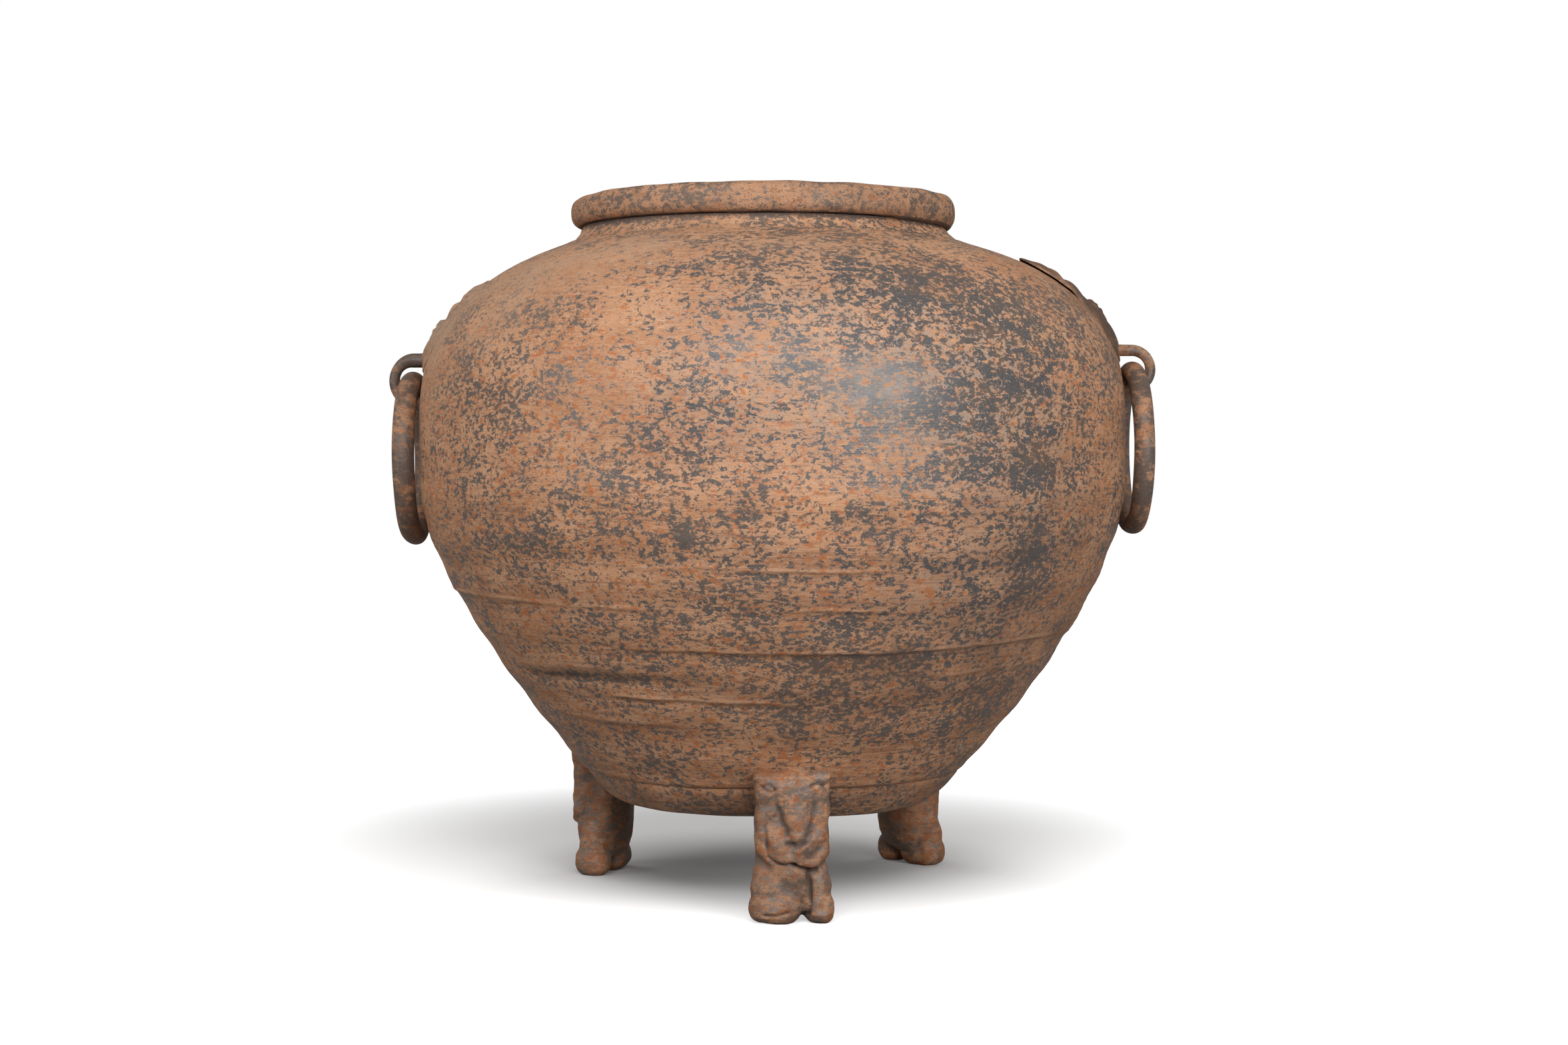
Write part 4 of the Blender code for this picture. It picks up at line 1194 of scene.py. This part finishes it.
    # Relief: the slip's thickness, fine sideways scratches and the grain of the clay
    scale = SPOTS / 1.5
    scratches = add(tree, NOISE, {"Vector": drawn, "Scale": scale, "Detail": 3, "Roughness": 0.6})
    cut = add(tree, RANGE, {0: slip, 3: 0.30, 4: 0.07})
    scratches = add(tree, MATHS, {0: scratches, 1: cut}, **TIMES)
    rough = add(tree, RANGE, {0: slip, 3: 0.55, 4: 0.12})
    relief = add(tree, MATHS, {0: grain, 1: rough, 2: scratches}, **TIMES_PLUS)
    relief = add(tree, MATHS, {0: slip, 1: 0.3, 2: relief}, **TIMES_PLUS)
    relief = add(tree, MATHS, {0: drag, 1: 0.8, 2: relief}, **TIMES_PLUS)
    bump = add(tree, "ShaderNodeBump", {"Strength": 0.8, "Distance": 0.35 * MM, "Height": relief})
    tree.links.new(bump.outputs[0], shader.inputs["Normal"])
    return made


# Put together

# The wall keeps crisp flakes of slip, burnished to a soft sheen
wall_clay = slipped_terracotta("burnished_terracotta_wall", pepper=0.3)
# The rim is handled: its slip is rubbed to blurred, dull patches, with soot and specks
rim_clay = slipped_terracotta(
    "handled_terracotta_rim",
    size=1.2,
    cover=-0.012,
    soft=0.05,
    patches=0.9,
    dust=0.1,
    soot=0.35,
    pepper=0.8,
    sheen=0.5,
)
# The masks came dull out of their mould, and the right one is dark with smoke
mask_clay = slipped_terracotta(
    "moulded_terracotta_mask", 1.3, 0.01, soft=0.04, dust=0.2, soot=0.2, pepper=0.6, sheen=0.6
)
smoked_clay = slipped_terracotta(
    "smoke_darkened_terracotta_mask", 1.3, 0.02, soft=0.06, soot=1.3, pepper=0.6, sheen=0.5
)
# The feet came out of a mould too: brown, rusty and worn, with a little pale grey slip
foot_clay = slipped_terracotta(
    "moulded_terracotta_feet",
    size=1.2,
    cover=0.008,
    soft=0.07,
    patches=1.4,
    rust=0.06,
    soot=0.55,
    pepper=0.4,
    sheen=0.45,
    slates=FOOT_SLATES,
)
# The bars were rolled by hand and polished by hands: large blurred patches of slip on brown clay
bar_clay = slipped_terracotta(
    "rolled_terracotta_bars",
    size=2.0,
    cover=0.05,
    soft=0.08,
    patches=2.2,
    soot=0.55,
    pepper=0.5,
    sheen=0.42,
)

dressed(base_dish(), "jar", "body_clay", wall_clay, "base_dish")
dressed(lower_wall(), "jar", "body_clay", wall_clay, "lower_wall")
dressed(upper_wall(), "jar", "body_clay", wall_clay, "upper_wall")
dressed(rim_coil(), "jar", "body_clay", rim_clay, "rim_coil")
for name, clay in (("left", mask_clay), ("right", smoked_clay)):
    dressed(mask(name), "jar", "body_clay", clay, "mask_" + name)
for which, (name, side) in enumerate((("left", -1), ("right", 1))):
    made = loop("loop_" + name + "_clay", which, side)
    dressed(made, "jar", "bar_clay", bar_clay, "loop_" + name)
    made = ring("ring_" + name + "_clay", which, side)
    dressed(made, "ring_" + name, "bar_clay", bar_clay, "ring_" + name)
for name in FOOT_TURNS:
    dressed(bear_foot(name), "jar", "foot_clay", foot_clay, "foot_" + name)


# Floor, light and camera

# The photograph's frame in pixels, the camera's focal length in them, the pixel that the jar's
# axis stands at and the row of the horizon, and the camera's distance and height in metres
FRAME, FOCAL, AXIS_AND_HORIZON = (2353, 1568), 3660, (1159.5, 668)
CAMERA_DISTANCE, CAMERA_HEIGHT = 1.83, 0.330
FLOOR_HALF = 9
# Ellipses on the floor as the middle's place and the size across and along, in metres, and the
# shares of that size between which the edge is soft: the shadow painted under the jar, and where
# the paper starts to fade into the background
PAINTED_SHADOW_UNDER_JAR = (0.0, 0.052, 1.3, 1.2, 0.03, 0.19)
FADE_OUT = (-0.06, 0.21, 1.6, 1.35, 0.08, 0.46)
# The first colour is the grey of the shadow painted on the paper under the jar
PAINTED_SHADOW_GREY, PAPER, DULL_PAPER = "888888", "f8f8f8", "868686"
# Softboxes: azimuth and elevation from the jar in degrees, distance, width and height in
# metres, and power in watts
SOFTBOXES = {
    "key_right": (30, 12, 2.0, 1.0, 0.45, 19),
    "key_left": (-58, 16, 2.2, 1.0, 0.9, 12),
    "front": (-5, 30, 2.4, 1.3, 0.45, 25),
    "high_front": (0, 58, 2.4, 1.6, 1.2, 9),
    "rear_left": (-128, 26, 2.4, 1.4, 1.2, 18),
    "rear_right": (133, 26, 2.4, 1.4, 1.2, 14),
}
LIT_PLACE = Vector((0, 0, 0.3))
AMBIENT = 0.18


def seen_directly(tree):
    """1 for what the camera sees, also through glass, and 0 for what lights the jar. What the jar
    mirrors is 0 as well: it has no metal or glass to show the white background, and that would
    turn the dark slip pale along the jar's outline."""
    path = add(tree, "ShaderNodeLightPath").outputs
    return add(tree, MATHS, {0: path["Is Camera Ray"], 1: path["Is Transmission Ray"]}, **MOST)


def ellipse(tree, x, y, across, along, low, high):
    """0 inside an ellipse on the floor and 1 outside it, with a soft edge from low to high."""
    where = add(tree, "ShaderNodeTexCoord").outputs["Object"]
    shift, scale = (-x / across, -y / along, 0), (1 / across, 1 / along, 1)
    spot = add(tree, MAPPING, {0: where, 1: shift, 3: scale})
    away = add(tree, VECTORS, {0: spot}, operation="LENGTH")
    return add(tree, RANGE, {0: away, 1: low, 2: high}, **EASED)


def paper_sweep():
    """White paper to the camera, grey under the jar as a painted shadow, fading into the
    background away from the jar, and a duller white to the jar, so that little of the lamps' light
    comes back up at it."""
    paper = bpy.data.materials.new("white_paper_sweep")
    paper.use_nodes = True
    tree = paper.node_tree
    shader = tree.nodes["Principled BSDF"]
    shader.inputs["Roughness"].default_value = 0.9
    shader.inputs["Specular IOR Level"].default_value = 0.0
    seen, under = seen_directly(tree), ellipse(tree, *PAINTED_SHADOW_UNDER_JAR)
    # The paper turns grey under the jar: a painted shadow, on top of the shadow the lamps cast
    lit = add(tree, MIX, {0: under, 6: linear(PAINTED_SHADOW_GREY), 7: linear(PAPER)}, **COLOURS)
    lit = add(tree, MIX, {0: seen, 6: linear(DULL_PAPER), 7: lit}, **COLOURS)
    tree.links.new(lit.outputs[2], shader.inputs["Base Color"])
    glow = add(tree, MATHS, {0: ellipse(tree, *FADE_OUT), 1: seen}, **TIMES)
    tree.links.new(glow.outputs[0], shader.inputs["Emission Strength"])
    shader.inputs["Emission Color"].default_value = (1, 1, 1, 1)
    return paper


floor_data = bpy.data.meshes.new("floor")
floor_data.from_pydata(
    [(x * FLOOR_HALF, y * FLOOR_HALF, 0) for x, y in ((-1, -1), (1, -1), (1, 1), (-1, 1))],
    [],
    [(0, 1, 2, 3)],
)
floor_data.materials.append(paper_sweep())
floor = placed("floor", floor_data)

for name, (degrees, tilt, distance, width, height, power) in SOFTBOXES.items():
    data = bpy.data.lights.new(name, "AREA")
    data.shape = "RECTANGLE"
    data.size, data.size_y, data.energy = width, height, power
    box = placed(name, data)
    turn, rise = math.radians(degrees), math.radians(tilt)
    out = math.cos(rise)
    way = Vector((math.sin(turn) * out, -math.cos(turn) * out, math.sin(rise)))
    box.location = LIT_PLACE + distance * way
    box.rotation_euler = (-way).to_track_quat("-Z", "Y").to_euler()
    # The lamps behind show in no sheen
    box.visible_glossy = not name.startswith("rear")

world = bpy.data.worlds.new("studio")
bpy.context.scene.world = world
world.use_nodes = True
background = world.node_tree.nodes["Background"]
seen = seen_directly(world.node_tree)
strength = add(world.node_tree, RANGE, {0: seen, 3: AMBIENT, 4: 1.0})
world.node_tree.links.new(strength.outputs[0], background.inputs["Strength"])
background.inputs["Color"].default_value = (1, 1, 1, 1)

camera_data = bpy.data.cameras.new("camera")
camera = placed("camera", camera_data)
bpy.context.scene.camera = camera
camera_data.lens = camera_data.sensor_width * FOCAL / FRAME[0]
camera.location = (0, -CAMERA_DISTANCE, CAMERA_HEIGHT)
aside, down = (size / 2 - place for size, place in zip(FRAME, AXIS_AND_HORIZON))
camera.rotation_euler = (
    math.pi / 2 - math.atan(down / FOCAL),
    0,
    -math.atan(aside / FOCAL),
)
bpy.context.scene.view_settings.view_transform = "Standard"
